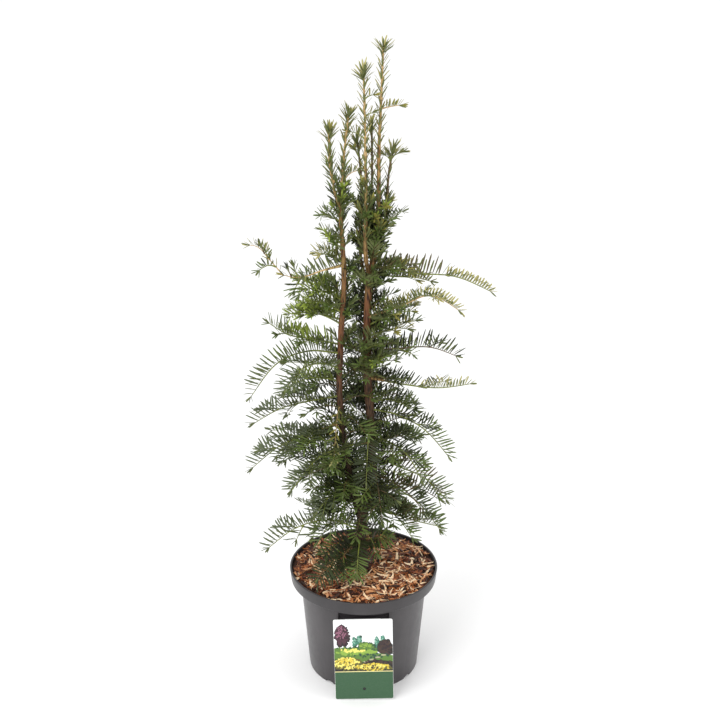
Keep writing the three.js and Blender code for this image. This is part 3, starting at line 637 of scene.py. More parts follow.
def split_axis(axis, share, habit):
    """An axis in two parts, the outer one with its own habit."""
    middle = blend(*axis.girths, share)
    inner, outer = axis.path.part(0, share), axis.path.part(share, 1)
    return [
        Axis(inner, axis.sideways, axis.habit, axis.tints[:1] * 2, (axis.girths[0], middle),
             axis.first, skin=axis.skin),
        Axis(outer, axis.sideways, habit, axis.tints[1:] * 2, (middle, axis.girths[1]),
             skin="green" if axis.skin == "brown" else axis.skin),
    ]


def add_twigs(axes, twigs, seed, room):
    """Keeps the twigs that have room, and grows finer ones on the long ones."""
    for i, twig in enumerate(twigs):
        if axis_fits(twig, room):
            axes.append(twig)
            count = int(twig.path.length / TWIG_STEP)
            fine = side_twigs(twig, count, seed * 7 + i, FINE_BRANCHING, "twig", FINE_GIRTHS)
            axes.extend(one for one in fine if axis_fits(one, room))


def add_inner_shoots(axes, stems, room):
    """Short shoots that leave the stems all round and fill the crown."""
    for order, (name, heights, step, reaches, rises, habit, tints) in enumerate(INNER_SHOOTS):
        for i, height in enumerate(np.arange(*heights, step)):
            seed = i + 60 * order
            turn = math.degrees(GOLDEN_ANGLE) * i + INNER["heading"] * chance(seed, 1)
            heading = turn % 360
            in_front = abs(heading - FRONT_HEADING) < OPEN_ANGLE
            if in_front and any(low < height < high for low, high in OPEN_FRONT.get(name, [])):
                continue
            reach = blend(*reaches, chance(seed, 2))
            rise = blend(*rises, chance(seed, 3)) * reach
            thirds = [
                rise * share + INNER["arch"] * reach * math.sin(math.pi * share)
                for share in (1 / 3, 2 / 3, 1)
            ]
            root = stems[name].at(stems[name].share_at_height(height))
            path = shoot_path(root, heading, reach, thirds)
            plane = across(heading, (chance(seed, 4) - 0.5) * INNER["roll"])
            first = min(INNER["most_bare"], INNER["bare"] / path.length)
            shoot = Axis(path, plane, habit, tints, SHORT_GIRTHS, first, skin="brown")
            if axis_fits(shoot, room, INNER_START):
                axes.append(shoot)
                count = int(shoot.path.length / INNER_TWIG_STEP)
                twigs = side_twigs(shoot, count, seed, FINE_BRANCHING, habit, FINE_GIRTHS)
                axes.extend(one for one in twigs if axis_fits(one, room))


# ---------------------------------------------------------------- meshes and node trees


def linear(colour):
    """A hex sRGB colour as the linear red, green and blue that shaders take."""
    channels = [int(colour[i : i + 2], 16) / 255 for i in (1, 3, 5)]
    return tuple(c / 12.92 if c <= 0.04045 else ((c + 0.055) / 1.055) ** 2.4 for c in channels)


def add(tree, kind, sockets=None, **settings):
    """Adds a node with its settings, and sets or links the sockets named or numbered."""
    node = tree.nodes.new(kind)
    for name, value in settings.items():
        setattr(node, name, value)
    for key, value in (sockets or {}).items():
        if isinstance(value, bpy.types.NodeSocket):
            tree.links.new(value, node.inputs[key])
        else:
            node.inputs[key].default_value = value
    return node


def new_mesh(name, points, faces, smooth=True):
    """A mesh from points in millimetres."""
    mesh = bpy.data.meshes.new(name)
    mesh.from_pydata((np.asarray(points, float) * MM).tolist(), [], faces)
    mesh.validate()
    mesh.polygons.foreach_set("use_smooth", [smooth] * len(mesh.polygons))
    return mesh


def closed_mesh(name, points, faces, smooth=False):
    """A closed mesh from points in millimetres, with its faces turned outwards."""
    mesh = new_mesh(name, points, faces, smooth)
    shape = bmesh.new()
    shape.from_mesh(mesh)
    bmesh.ops.recalc_face_normals(shape, faces=shape.faces)
    shape.to_mesh(mesh)
    shape.free()
    return mesh


def ring_faces(rings, sides):
    """The faces between rings of so many points each, one face wide."""
    faces = []
    for low in range(0, rings * sides, sides):
        high = low + sides
        for i in range(sides):
            j = (i + 1) % sides
            faces.append((low + i, low + j, high + j, high + i))
    return faces


def new_object(name, mesh, *materials):
    """An object in the scene, with its mesh and materials."""
    thing = bpy.data.objects.new(name, mesh)
    bpy.context.scene.collection.objects.link(thing)
    for material in materials:
        mesh.materials.append(material)
    return thing


def finish_piece(thing, slot, *nodes):
    """The piece rides on the part's body and stands for its nodes, which it hides. Its slot is not
    used.
    """
    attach(thing, "root")
    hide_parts(*nodes)


def new_tree(name, sockets):
    """A geometry node tree with its named inputs, and its group input and output nodes."""
    tree = bpy.data.node_groups.new(name, "GeometryNodeTree")
    tree.interface.new_socket("Geometry", in_out="INPUT", socket_type="NodeSocketGeometry")
    for label, kind in sockets.items():
        tree.interface.new_socket(label, in_out="INPUT", socket_type=kind)
    tree.interface.new_socket("Geometry", in_out="OUTPUT", socket_type="NodeSocketGeometry")
    return tree, add(tree, "NodeGroupInput").outputs, add(tree, "NodeGroupOutput").inputs


def apply_modifier(thing, modifier):
    """Leaves the plain mesh that the modifier makes."""
    graph = bpy.context.evaluated_depsgraph_get()
    made = bpy.data.meshes.new_from_object(thing.evaluated_get(graph), depsgraph=graph)
    thing.modifiers.remove(modifier)
    thing.data = made


def grow(name, mesh, tree, values):
    """Runs a node tree on a mesh, and returns an object with the plain mesh that it makes."""
    thing = new_object(name, mesh)
    modifier = thing.modifiers.new(tree.name, "NODES")
    modifier.node_group = tree
    for item in tree.interface.items_tree:
        if item.in_out == "INPUT" and item.name in values:
            modifier[item.identifier] = values[item.name]
    apply_modifier(thing, modifier)
    bpy.data.meshes.remove(mesh)
    made = thing.data
    made.name = name
    for attribute in [one for one in made.attributes if one.name in ("way", "face", "size")]:
        made.attributes.remove(attribute)
    return thing


def rolled(tree, given, facing):
    """Turns each piece about its own length, by chance and by up to the turn either way."""
    back = add(tree, "ShaderNodeMath", {0: given["Turn"], 1: -1.0}, operation="MULTIPLY")
    turn = add(tree, "FunctionNodeRandomValue", data_type="FLOAT")
    spread = [socket for socket in turn.inputs if socket.type == "VALUE" and socket.enabled]
    tree.links.new(back.outputs[0], spread[0])
    tree.links.new(given["Turn"], spread[1])
    tree.links.new(given["Seed"], turn.inputs["Seed"])
    amount = next(socket for socket in turn.outputs if socket.enabled)
    about = add(tree, "ShaderNodeCombineXYZ", {"Y": amount})
    euler = add(tree, "FunctionNodeEulerToRotation", {"Euler": about.outputs[0]})
    return add(tree, "FunctionNodeRotateRotation",
               {"Rotation": facing, "Rotate By": euler.outputs[0]},
               rotation_space="LOCAL").outputs[0]


@functools.cache
def scatter_tree():
    """Puts one piece on every point, turned and sized by the point's way, face and size."""
    tree, given, result = new_tree("Scatter pieces", {
        "Piece": "NodeSocketObject",
        "Turn": "NodeSocketFloat",
        "Seed": "NodeSocketInt",
        "Upper finish": "NodeSocketMaterial",
        "Under finish": "NodeSocketMaterial",
    })
    read = {
        label: add(tree, "GeometryNodeInputNamedAttribute", {"Name": label},
                   data_type=kind).outputs["Attribute"]
        for label, kind in (("way", "FLOAT_VECTOR"), ("face", "FLOAT_VECTOR"),
                            ("size", "FLOAT_VECTOR"), ("under", "BOOLEAN"))
    }
    facing = add(tree, "FunctionNodeAxesToRotation",
                 {"Primary Axis": read["way"], "Secondary Axis": read["face"]},
                 primary_axis="Y", secondary_axis="Z")
    points = add(tree, "GeometryNodeMeshToPoints", {"Mesh": given["Geometry"]})
    piece = add(tree, "GeometryNodeObjectInfo", {"Object": given["Piece"]})
    placed = add(tree, "GeometryNodeInstanceOnPoints", {
        "Points": points.outputs[0],
        "Instance": piece.outputs["Geometry"],
        "Rotation": rolled(tree, given, facing.outputs[0]),
        "Scale": read["size"],
    })
    real = add(tree, "GeometryNodeRealizeInstances", {"Geometry": placed.outputs[0]})
    upper = add(tree, "GeometryNodeSetMaterial",
                {"Geometry": real.outputs[0], "Material": given["Upper finish"]})
    under = add(tree, "GeometryNodeSetMaterial", {
        "Geometry": upper.outputs[0],
        "Selection": read["under"],
        "Material": given["Under finish"],
    })
    tree.links.new(under.outputs[0], result["Geometry"])
    return tree


@functools.cache
def tube_tree():
    """Sweeps a round section along every line of a mesh, by the girth at its points."""
    tree, given, result = new_tree("Twig tubes", {
        "Sides": "NodeSocketInt",
        "Finish": "NodeSocketMaterial",
    })
    lines = add(tree, "GeometryNodeMeshToCurve", {"Mesh": given["Geometry"]})
    girth = add(tree, "GeometryNodeInputNamedAttribute", {"Name": "girth"}, data_type="FLOAT")
    section = add(tree, "GeometryNodeCurvePrimitiveCircle",
                  {"Resolution": given["Sides"], "Radius": 1.0})
    tube = add(tree, "GeometryNodeCurveToMesh", {
        "Curve": lines.outputs[0],
        "Profile Curve": section.outputs[0],
        "Scale": girth.outputs["Attribute"],
        "Fill Caps": True,
    })
    real = add(tree, "GeometryNodeRealizeInstances", {"Geometry": tube.outputs[0]})
    smooth = add(tree, "GeometryNodeSetShadeSmooth", {"Geometry": real.outputs[0]})
    done = add(tree, "GeometryNodeSetMaterial",
               {"Geometry": smooth.outputs[0], "Material": given["Finish"]})
    tree.links.new(done.outputs[0], result["Geometry"])
    return tree


def point_mesh(name, points, **vectors):
    """Loose points in millimetres, each with the vectors given."""
    mesh = bpy.data.meshes.new(name)
    mesh.from_pydata((np.asarray(points) * MM).tolist(), [], [])
    for label, values in vectors.items():
        attribute = mesh.attributes.new(label, "FLOAT_VECTOR", "POINT")
        attribute.data.foreach_set("vector", np.asarray(values, float).ravel())
    return mesh


# ---------------------------------------------------------------- finishes


def new_finish(name, **settings):
    """A material with its shader's constants set, its tree, and its Object coordinates."""
    material = bpy.data.materials.new(name)
    material.use_nodes = True
    tree = material.node_tree
    shader = tree.nodes["Principled BSDF"]
    for label, value in settings.items():
        shader.inputs[label.replace("_", " ")].default_value = value
    place = add(tree, "ShaderNodeTexCoord").outputs["Object"]
    return material, tree, shader, place


def grain(tree, place, size, stretch=(1, 1, 1)):
    """Noise whose patches are about this many millimetres across, drawn out by stretch."""
    scale = tuple(1 / (size * MM * axis) for axis in stretch)
    mapped = add(tree, "ShaderNodeMapping", {"Vector": place, "Scale": scale})
    return add(tree, "ShaderNodeTexNoise",
               {"Vector": mapped.outputs[0], "Scale": 1.0, "Detail": 3.0}).outputs[0]


def set_stops(ramp, stops):
    """Gives a colour ramp its stops of place and hex colour, and returns its output."""
    elements = ramp.color_ramp.elements
    while len(elements) < len(stops):
        elements.new(0.5)
    for element, (position, colour) in zip(elements, stops):
        element.position = position
        element.color = (*linear(colour), 1)
    return ramp.outputs[0]


def mottle(tree, shader, place, size, stops):
    """Colours the surface through the stops, in patches about this many millimetres across."""
    ramp = add(tree, "ShaderNodeValToRGB", {"Fac": grain(tree, place, size)})
    tree.links.new(set_stops(ramp, stops), shader.inputs["Base Color"])


def roughen(tree, shader, place, size, depth, stretch=(1, 1, 1)):
    """Raises the surface in a grain of this size, by up to this many millimetres."""
    height = grain(tree, place, size, stretch)
    raised = add(tree, "ShaderNodeBump",
                 {"Height": height, "Distance": depth * MM, "Strength": 1.0})
    tree.links.new(raised.outputs[0], shader.inputs["Normal"])


def moulded_polypropylene(light, dark):
    """Recycled black polypropylene, injection moulded: a matt grey sheen over a fine grain,
    a little cloudy, because the recycled melt never mixes evenly. From just under the lip up over
    it the colour is darker: painted shade for the shade under and on the lip."""
    material, tree, shader, place = new_finish("moulded_polypropylene", IOR=1.49)
    cloud = add(tree, "ShaderNodeValToRGB", {"Fac": grain(tree, place, 38, (1, 1, 2))})
    colours = set_stops(cloud, [(0.3, dark), (0.7, light)])
    height = add(tree, "ShaderNodeSeparateXYZ", {"Vector": place}).outputs["Z"]
    # Painted shade: the colour is multiplied down to 0.72 from 12 mm under the lip's foot to 4 mm
    # over it, for the shade under and on the lip.
    lip_painted_shade = add(tree, "ShaderNodeMapRange", {
        "Value": height,
        "From Min": (LIP_FOOT - 12) * MM,
        "From Max": (LIP_FOOT + 4) * MM,
        "To Min": 1.0,
        "To Max": 0.72,
    })
    darker = add(tree, "ShaderNodeMix", {"Factor": 1.0, 6: colours, 7: lip_painted_shade.outputs[0]},
                 data_type="RGBA", blend_type="MULTIPLY")
    tree.links.new(darker.outputs[2], shader.inputs["Base Color"])
    rough = add(tree, "ShaderNodeMapRange",
                {"Value": grain(tree, place, 9), "To Min": 0.3, "To Max": 0.44})
    tree.links.new(rough.outputs[0], shader.inputs["Roughness"])
    # The mould's grain is about 0.3 mm; it is drawn at 1.2 mm so that it shows at all.
    roughen(tree, shader, place, 1.2, 0.05)
    return material


def shredded_bark(name, colour, dark):
    """Shredded pine bark: damp and fibrous with a dull shine, mottled where the fibres split."""
    material, tree, shader, place = new_finish(f"shredded_bark_{name}", Roughness=0.55)
    mottle(tree, shader, place, 3.2, [(0.32, dark), (0.62, colour)])
    roughen(tree, shader, place, 0.9, 0.25)
    return material


def potting_mix():
    """Damp peat and bark fines: nearly black crumbs with brown ones among them."""
    material, tree, shader, place = new_finish("damp_potting_mix", Roughness=0.9)
    mottle(tree, shader, place, 2.6, [(0.35, "#22120a"), (0.55, "#422415"), (0.72, "#6b3c20")])
    roughen(tree, shader, place, 1.6, 0.8)
    return material


def yew_bark(name, stops, low, high):
    """Thin yew bark that flakes in long scales; its colour goes from the stops at the low
    height to those at the high one, with darker cracks between the scales."""
    material, tree, shader, place = new_finish(f"flaking_yew_bark_{name}", Roughness=0.78)
    height = add(tree, "ShaderNodeSeparateXYZ", {"Vector": place}).outputs["Z"]
    share = add(tree, "ShaderNodeMapRange",
                {"Value": height, "From Min": low * MM, "From Max": high * MM})
    patch = add(tree, "ShaderNodeMath",
                {0: grain(tree, place, 7, (1, 1, 4)), 1: 0.5, 2: -0.25}, operation="MULTIPLY_ADD")
    shifted = add(tree, "ShaderNodeMath", {0: share.outputs[0], 1: patch.outputs[0]})
    body = add(tree, "ShaderNodeValToRGB", {"Fac": shifted.outputs[0]})
    cracks = add(tree, "ShaderNodeValToRGB", {"Fac": grain(tree, place, 2.2, (1, 1, 7))})
    mixed = add(tree, "ShaderNodeMix", {
        "Factor": 1.0,
        6: set_stops(body, stops),
        7: set_stops(cracks, [(0.36, "#6a5a50"), (0.52, "#ffffff")]),
    }, data_type="RGBA", blend_type="MULTIPLY")
    tree.links.new(mixed.outputs[2], shader.inputs["Base Color"])
    roughen(tree, shader, place, 2.0, 0.5, (1, 1, 6))
    return material


def young_shoot(name, colour, dark):
    """The skin of a young shoot: smooth, a little waxy, green or tan with darker ribs."""
    material, tree, shader, place = new_finish(f"young_shoot_{name}", Roughness=0.5)
    mottle(tree, shader, place, 6, [(0.35, dark), (0.6, colour)])
    roughen(tree, shader, place, 1.5, 0.15)
    return material


def yew_needle(name, colour, roughness=0.4):
    """A yew needle's skin: leathery and waxed above, so it shines softly along the blade."""
    material, tree, shader, place = new_finish(
        f"waxy_needle_{name}", IOR=1.45, Roughness=roughness, Specular_IOR_Level=0.28)
    deeper = add(tree, "ShaderNodeMix", {"Factor": 0.35, 6: (*colour, 1), 7: (0, 0, 0, 1)},
                 data_type="RGBA")
    mixed = add(tree, "ShaderNodeMix",
                {"Factor": grain(tree, place, 14), 6: deeper.outputs[2], 7: (*colour, 1)},
                data_type="RGBA")
    tree.links.new(mixed.outputs[2], shader.inputs["Base Color"])
    roughen(tree, shader, place, 1.4, 0.1)
    return material


def laminated_card(name, colour):
    """Printed card under a clear laminate: flat ink with a fine print grain and a soft gloss."""
    material, tree, shader, place = new_finish(
        f"laminated_card_{name}", Roughness=0.36, IOR=1.5, Specular_IOR_Level=0.3)
    paler = add(tree, "ShaderNodeMix", {"Factor": 0.04, 6: (*colour, 1), 7: (1, 1, 1, 1)},
                data_type="RGBA")
    mixed = add(tree, "ShaderNodeMix",
                {"Factor": grain(tree, place, 1.4), 6: (*colour, 1), 7: paler.outputs[2]},
                data_type="RGBA")
    tree.links.new(mixed.outputs[2], shader.inputs["Base Color"])
    return material


# ---------------------------------------------------------------- settings


def size_setting(label, about, default):
    """A setting for a length, from its usual millimetres."""
    return bpy.props.FloatProperty(name=label, description=about, default=default * MM,
                                   unit="LENGTH")


def colour_setting(label, about, default):
    """A setting for a colour, from its usual hex one."""
    return bpy.props.FloatVectorProperty(name=label, description=about, default=linear(default),
                                         subtype="COLOR", min=0, max=1)


class PotSettings(bpy.types.PropertyGroup):
    segments: bpy.props.IntProperty(
        name="Segments", description="Flat faces round the pot", default=176, min=24)
    rounding: size_setting("Rounding", "Radius of the lip's and the foot's edges", 1.5)


class MulchSettings(bpy.types.PropertyGroup):
    seed: bpy.props.IntProperty(name="Seed", description="Seed for where the strips lie", default=4)
    strips: bpy.props.IntProperty(
        name="Strips", description="Bark strips, which each colour has a share of",
        default=440, min=1)
    shortest: size_setting("Shortest", "Length of the shortest strip", 8)
    longest: size_setting("Longest", "Length of the longest strip", 30)


class LabelSettings(bpy.types.PropertyGroup):
    band: colour_setting("Band", "Colour of the plain band at the label's foot", "#2c5434")
    line: colour_setting("Line", "Colour of the thin line over the band", "#efe2a0")
    sky: colour_setting("Sky", "Colour of the picture's sky", "#f4f7f8")


class WoodSettings(bpy.types.PropertyGroup):
    relief: size_setting("Relief", "How far the bark's scales stand out", 0.55)
    sides: bpy.props.IntProperty(
        name="Twig sides", description="Flat faces round a twig", default=6, min=3)


class NeedleSettings(bpy.types.PropertyGroup):
    seed: bpy.props.IntProperty(name="Seed", description="Seed for how the needles vary", default=7)
    width: size_setting("Width", "Width of a needle", 3.0)
    shade: colour_setting("Shade", "Needles deep inside the crown", "#272c14")
    deep: colour_setting("Deep green", "Older needles", "#384223")
    green: colour_setting("Green", "Needles of the last two years", "#607238")
    fresh: colour_setting("Fresh green", "Needles of this year", "#96a847")
    olive: colour_setting("Olive", "Needles on the leaders", "#98934a")
    tip: colour_setting("Tip green", "Soft needles at the tips", "#b6b072")
    bronze: colour_setting("Bronze", "Needles that the sun has browned", "#645a3c")
    bloom: colour_setting("Bloom", "Needles that a waxy bloom turns greyish", "#646e50")
    under: colour_setting("Underside", "The pale underside of the needles", "#6e7648")


class StageSettings(bpy.types.PropertyGroup):
    key: bpy.props.FloatProperty(
        name="Key light", description="Power of the main soft light", default=52, unit="POWER")
    fill: bpy.props.FloatProperty(
        name="Fill light", description="Power of the second soft light", default=8, unit="POWER")
    lens: bpy.props.FloatProperty(
        name="Lens", description="Focal length in millimetres", default=61.3)


# ---------------------------------------------------------------- pot


def revolve(name, profile, segments):
    """A closed solid of revolution from a profile of radius and height that starts and ends
    on the axis."""
    inner = profile[1:-1]
    points = [(0, 0, profile[0][1])]
    for radius, height in inner:
        for i in range(segments):
            angle = FULL_TURN * i / segments
            points.append((radius * math.cos(angle), radius * math.sin(angle), height))
    top = len(points)
    points.append((0, 0, profile[-1][1]))
    faces = []
    for i in range(segments):
        j = (i + 1) % segments
        faces.append((0, 1 + j, 1 + i))
        for row in range(len(inner) - 1):
            low, high = 1 + row * segments, 1 + (row + 1) * segments
            faces.append((low + i, low + j, high + j, high + i))
        last = 1 + (len(inner) - 1) * segments
        faces.append((last + i, last + j, top))
    return new_mesh(name, points, faces)


def rounded(corner, before, after, radius):
    """Points that round a profile's corner, from the side of before to that of after."""
    corner = np.array(corner, float)
    start = corner + unit(np.array(before, float) - corner) * radius
    end = corner + unit(np.array(after, float) - corner) * radius
    shares = np.linspace(0, 1, 5)[:, None]
    curve = (1 - shares) ** 2 * start + 2 * shares * (1 - shares) * corner + shares**2 * end
    return [tuple(point) for point in curve]


def round_profile(profile, radii):
    """The profile with the corners numbered in radii rounded."""
    done = []
    for i, point in enumerate(profile):
        if i in radii:
            done += rounded(point, profile[i - 1], profile[i + 1], radii[i])
        else:
            done.append(point)
    return done


def wall_radius(height):
    """The radius of the pot's inner wall at a height."""
    return blend(FOOT_RADIUS, NECK_RADIUS, height / LIP_FOOT) - WALL


def oblong(half, low, high):
    """The outline of an oblong about the middle, this far to each side."""
    return [(-half, low), (half, low), (half, high), (-half, high)]


def prism(name, outline, low, high, ways):
    """A closed block: an outline of pairs, from low to high along the third way. Ways names
    the axes that the pairs and the third way lie on, such as "xzy"."""
    first, second, third = ("xyz".index(letter) for letter in ways)
    count = len(outline)
    points = np.zeros((2 * count, 3))
    points[:, (first, second)] = [*outline, *outline]
    points[:count, third] = low
    points[count:, third] = high
    faces = [tuple(range(count)), tuple(range(2 * count - 1, count - 1, -1))]
    faces += [(i, i + count, (i + 1) % count + count, (i + 1) % count) for i in range(count)]
    return closed_mesh(name, points, faces)


def sector(name, profile, half_angle):
    """A closed block: a profile of radius and height swept to both sides of the pot's front."""
    steps, count = 16, len(profile)
    points = [
        (radius * math.sin(angle), -radius * math.cos(angle), height)
        for angle in np.linspace(-half_angle, half_angle, steps + 1)
        for radius, height in profile
    ]
    faces = [tuple(range(count)), tuple(steps * count + j for j in reversed(range(count)))]
    for i in range(steps):
        for j in range(count):
            a, b = i * count + j, i * count + (j + 1) % count
            faces.append((a, a + count, b + count, b))
    return closed_mesh(name, points, faces)


def combine(thing, mesh, operation):
    """Joins a closed mesh to the thing's, or cuts it out, and leaves the plain result."""
    tool = new_object("tool", mesh)
    modifier = thing.modifiers.new("combine", "BOOLEAN")
    modifier.operation = operation
    modifier.solver = "EXACT"
    modifier.object = tool
    apply_modifier(thing, modifier)
    bpy.data.objects.remove(tool)


def drain_arch(heading):
    """The block that cuts one arched drain notch at the pot's foot."""
    half, high, reach = DRAIN["width"] / 2, DRAIN["height"], DRAIN["reach"]
    angles = np.linspace(0, math.pi, 9)
    arch = [(half * math.cos(angle), high * math.sin(angle)) for angle in angles]
    outline = [(half, -1), *arch, (-half, -1)]
    block = prism("drain", outline, FOOT_RADIUS - reach, FOOT_RADIUS + reach, "yzx")
    turn = math.radians(heading)
    for vertex in block.vertices:
        x, y, z = vertex.co
        vertex.co = (x * math.cos(turn) - y * math.sin(turn),
                     x * math.sin(turn) + y * math.cos(turn), z)
    return block


def pot_profile(edge):
    """The pot's profile of radius and height, from under its floor up, over the lip and down
    inside; the edges that hands touch are rounded by the edge's radius."""
    lip_inner = LIP_RADIUS - LIP_WALL
    corners = [
        (0, 0),
        (FOOT_RADIUS, 0),
        (NECK_RADIUS - 0.4, LIP_FOOT - 5),
        (NECK_RADIUS + 3, LIP_FOOT),
        (LIP_RADIUS - LIP_DRAFT, LIP_FOOT),
        (LIP_RADIUS, POT_HEIGHT),
        (lip_inner, POT_HEIGHT),
        (lip_inner - 1, LIP_FOOT + WALL + 4),
        (NECK_RADIUS + 1, LIP_FOOT + WALL),
        (wall_radius(LIP_FOOT), LIP_FOOT - 3),
        (wall_radius(POT_FLOOR), POT_FLOOR),
        (0, POT_FLOOR),
    ]
    radii = {1: edge, 2: 3, 3: 1, 4: 1, 5: edge, 6: edge, 7: 1, 8: 1, 9: 1, 10: 1}
    return round_profile(corners, radii)


def label_seat():
    """The round-fronted block under the lip that the label hangs on."""
    front, bottom = SEAT["front"], SEAT["bottom"]
    profile = [
        (front, LIP_FOOT + 0.5),
        (front, bottom + 14),
        (wall_radius(bottom) + 0.6, bottom - 6),
        (wall_radius(LIP_FOOT) + 0.6, LIP_FOOT + 0.5),
    ]
    return sector("seat", profile, math.asin(SEAT["width"] / 2 / front))


def label_slot():
    """The block that cuts the slot for the label's tongue."""
    top = LIP_FOOT - SLOT["drop"]
    pocket = oblong(SLOT["width"] / 2, top - SLOT["height"], top)
    return prism("slot", pocket, -SEAT["front"] - 3, -SEAT["front"] + SLOT["depth"], "xzy")


class YEW_OT_pot(bpy.types.Operator):
    """Make the moulded pot with its lip, label seat and drain notches"""

    bl_idname = "yew.pot"
    bl_label = "Pot"

    def execute(self, context):
        settings = context.scene.yew_pot
        profile = pot_profile(settings.rounding / MM)
        pot = new_object("nursery_pot", revolve("nursery_pot", profile, settings.segments))
        combine(pot, label_seat(), "UNION")
        combine(pot, label_slot(), "DIFFERENCE")
        for i in range(DRAIN["count"]):
            heading = DRAIN["heading"] + i * 360 / DRAIN["count"]
            combine(pot, drain_arch(heading), "DIFFERENCE")
        pot.data.set_sharp_from_angle(angle=math.radians(35))
        pot.data.materials.clear()
        pot.data.materials.append(moulded_polypropylene("#423e40", "#343133"))
        finish_piece(pot, "pot_plastic", "pot")
        return {"FINISHED"}


# ---------------------------------------------------------------- mulch

# Millimetres: the least and the most width and depth of a strip, how high they lie over one
# another, the size of the patches they gather in, and how far from the trunk the pale ones thin
# out, which leaves the mulch there darker: painted shade for the crown's shadow, and partly damp
# mulch.
STRIP_WIDTHS, STRIP_DEPTHS, STRIP_PILE = (1.4, 4.8), (1.5, 5), 2.6
STRIP_PATCH, TRUNK_SHADE_REACH = 24, 40
# How far a strip slopes along its length, and how far it leans to its sides.
STRIP_SLOPE, STRIP_LEAN = 0.16, 0.35
# The bed of mix under the strips: its rings and segments, and its sunk top and depth.
BED = {"rings": 40, "segments": 120, "drop": 0.6, "depth": 12}
# Each colour of bark: its light and dark tone, how far its strips curl and twist, their number as a
# share of the setting, how large they are, and how far they gather in patches and, by its sign,
# keep away from the trunk or crowd round it, which is painted shade round the trunk.
BARK_STRIPS = {
    "tan": ("#e6aa76", "#9c6238", 0.3, 0.6, 0.54, 1.25, 0.5),
    "cream": ("#ffe9c4", "#dfae7e", 0.4, 1.0, 0.46, 1.3, 0.65),
    "orange": ("#b66e38", "#713a1a", 0.25, 0.4, 0.7, 1.2, 0.3),
    "red": ("#7e4122", "#43200f", 0.15, 0.3, 1.1, 1.1, -0.2),
    "dark": ("#41210f", "#200f07", 0.1, 0.2, 1.2, 1.0, -0.4),
}


def strip_mesh(name, curl, twist):
    """One shredded strip, a unit long and wide, which curls up, bows sideways and twists."""
    stations, thick = 6, 0.16
    points = []
    for i in range(stations + 1):
        share = i / stations
        half = 0.5 * (0.45 + 0.55 * math.sin(math.pi * min(1, share * 0.9 + 0.12)))
        rise = curl * (2 * share - 1) ** 2
        bow = 3.2 * rise
        turn = twist * (share - 0.5)
        for hand, over in ((-1, thick), (1, thick), (1, -thick), (-1, -thick)):
            x = bow + hand * half * math.cos(turn)
            z = rise + over + hand * half * math.sin(turn)
            points.append((x / MM, (share - 0.5) / MM, z / MM))
    faces = ring_faces(stations, 4)
    faces += [(3, 2, 1, 0), tuple(stations * 4 + j for j in range(4))]
    return closed_mesh(name, points, faces)


def strip_places(settings, count, large, gather, rng):
    """Where the strips of one colour lie: points, ways, faces and sizes, all inside the rim.
    Large says how large they are for the setting, and gather how far they keep to patches, and away
    from the trunk: the mulch round the trunk is left darker as painted shade for the crown's
    shadow, and partly for damper mulch."""
    places = []
    while len(places) < count:
        length = blend(settings.shortest, settings.longest, rng.uniform() ** 1.8) * large / MM
        radius = MULCH_RADIUS * math.sqrt(rng.uniform(0.012, 1))
        around, heading = rng.uniform(0, FULL_TURN, 2)
        middle = np.array([radius * math.cos(around), radius * math.sin(around), 0])
        patch = noise.noise(Vector((middle[0] / STRIP_PATCH, middle[1] / STRIP_PATCH, 7)))
        # Painted shade, partly damp mulch: near the trunk the pale strips thin out and the dark
        # ones gather, darkening the mulch under the crown.
        likely = 0.5 + gather * (1.6 * patch - 0.3 * math.exp(-radius / TRUNK_SHADE_REACH))
        way = np.array([math.cos(heading), math.sin(heading), rng.normal(0, STRIP_SLOPE)])
        ends = [middle + way * length * hand / 2 for hand in (-1, 1)]
        widest = max(math.hypot(end[0], end[1]) for end in ends)
        if widest > MULCH_RADIUS - 1 or rng.uniform() > likely:
            continue
        middle[2] = MULCH_LEVEL + 0.4 + rng.uniform(0, STRIP_PILE) + mound(middle)
        face = np.array([rng.normal(0, STRIP_LEAN), rng.normal(0, STRIP_LEAN), 1])
        width = blend(*STRIP_WIDTHS, rng.uniform() ** 1.4) * large
        places.append((middle, way, face, (width, length, rng.uniform(*STRIP_DEPTHS))))
    return [np.array(column) for column in zip(*places)]


def mound(point):
    """How far the mulch stands over its level at a point, in millimetres."""
    wave = noise.noise(Vector((point[0] / 26, point[1] / 26, 0)))
    return 1.6 * wave + 0.9 * noise.noise(Vector((point[0] / 7, point[1] / 7, 3)))


def bed_mesh():
    """The bed of mix that shows between the strips: a closed and slightly uneven disc."""
    rings, segments = BED["rings"], BED["segments"]
    points = [(0, 0, MULCH_LEVEL - 1)]
    for ring in range(1, rings + 1):
        radius = MULCH_RADIUS * ring / rings
        for i in range(segments):
            angle = FULL_TURN * i / segments
            spot = np.array([radius * math.cos(angle), radius * math.sin(angle), 0])
            spot[2] = MULCH_LEVEL - BED["drop"] + mound(spot)
            points.append(spot)
    rim = 1 + (rings - 1) * segments
    low = MULCH_LEVEL - BED["depth"]
    points += [(x, y, low) for x, y, _ in points[rim : rim + segments]]
    points.append((0, 0, low))
    faces = []
    for i in range(segments):
        j = (i + 1) % segments
        faces.append((0, 1 + i, 1 + j))
        for ring in range(rings):
            inner, outer = 1 + ring * segments, 1 + (ring + 1) * segments
            faces.append((inner + i, outer + i, outer + j, inner + j))
        faces.append((rim + segments + i, len(points) - 1, rim + segments + j))
    return closed_mesh("mulch_bed", points, faces, smooth=True)


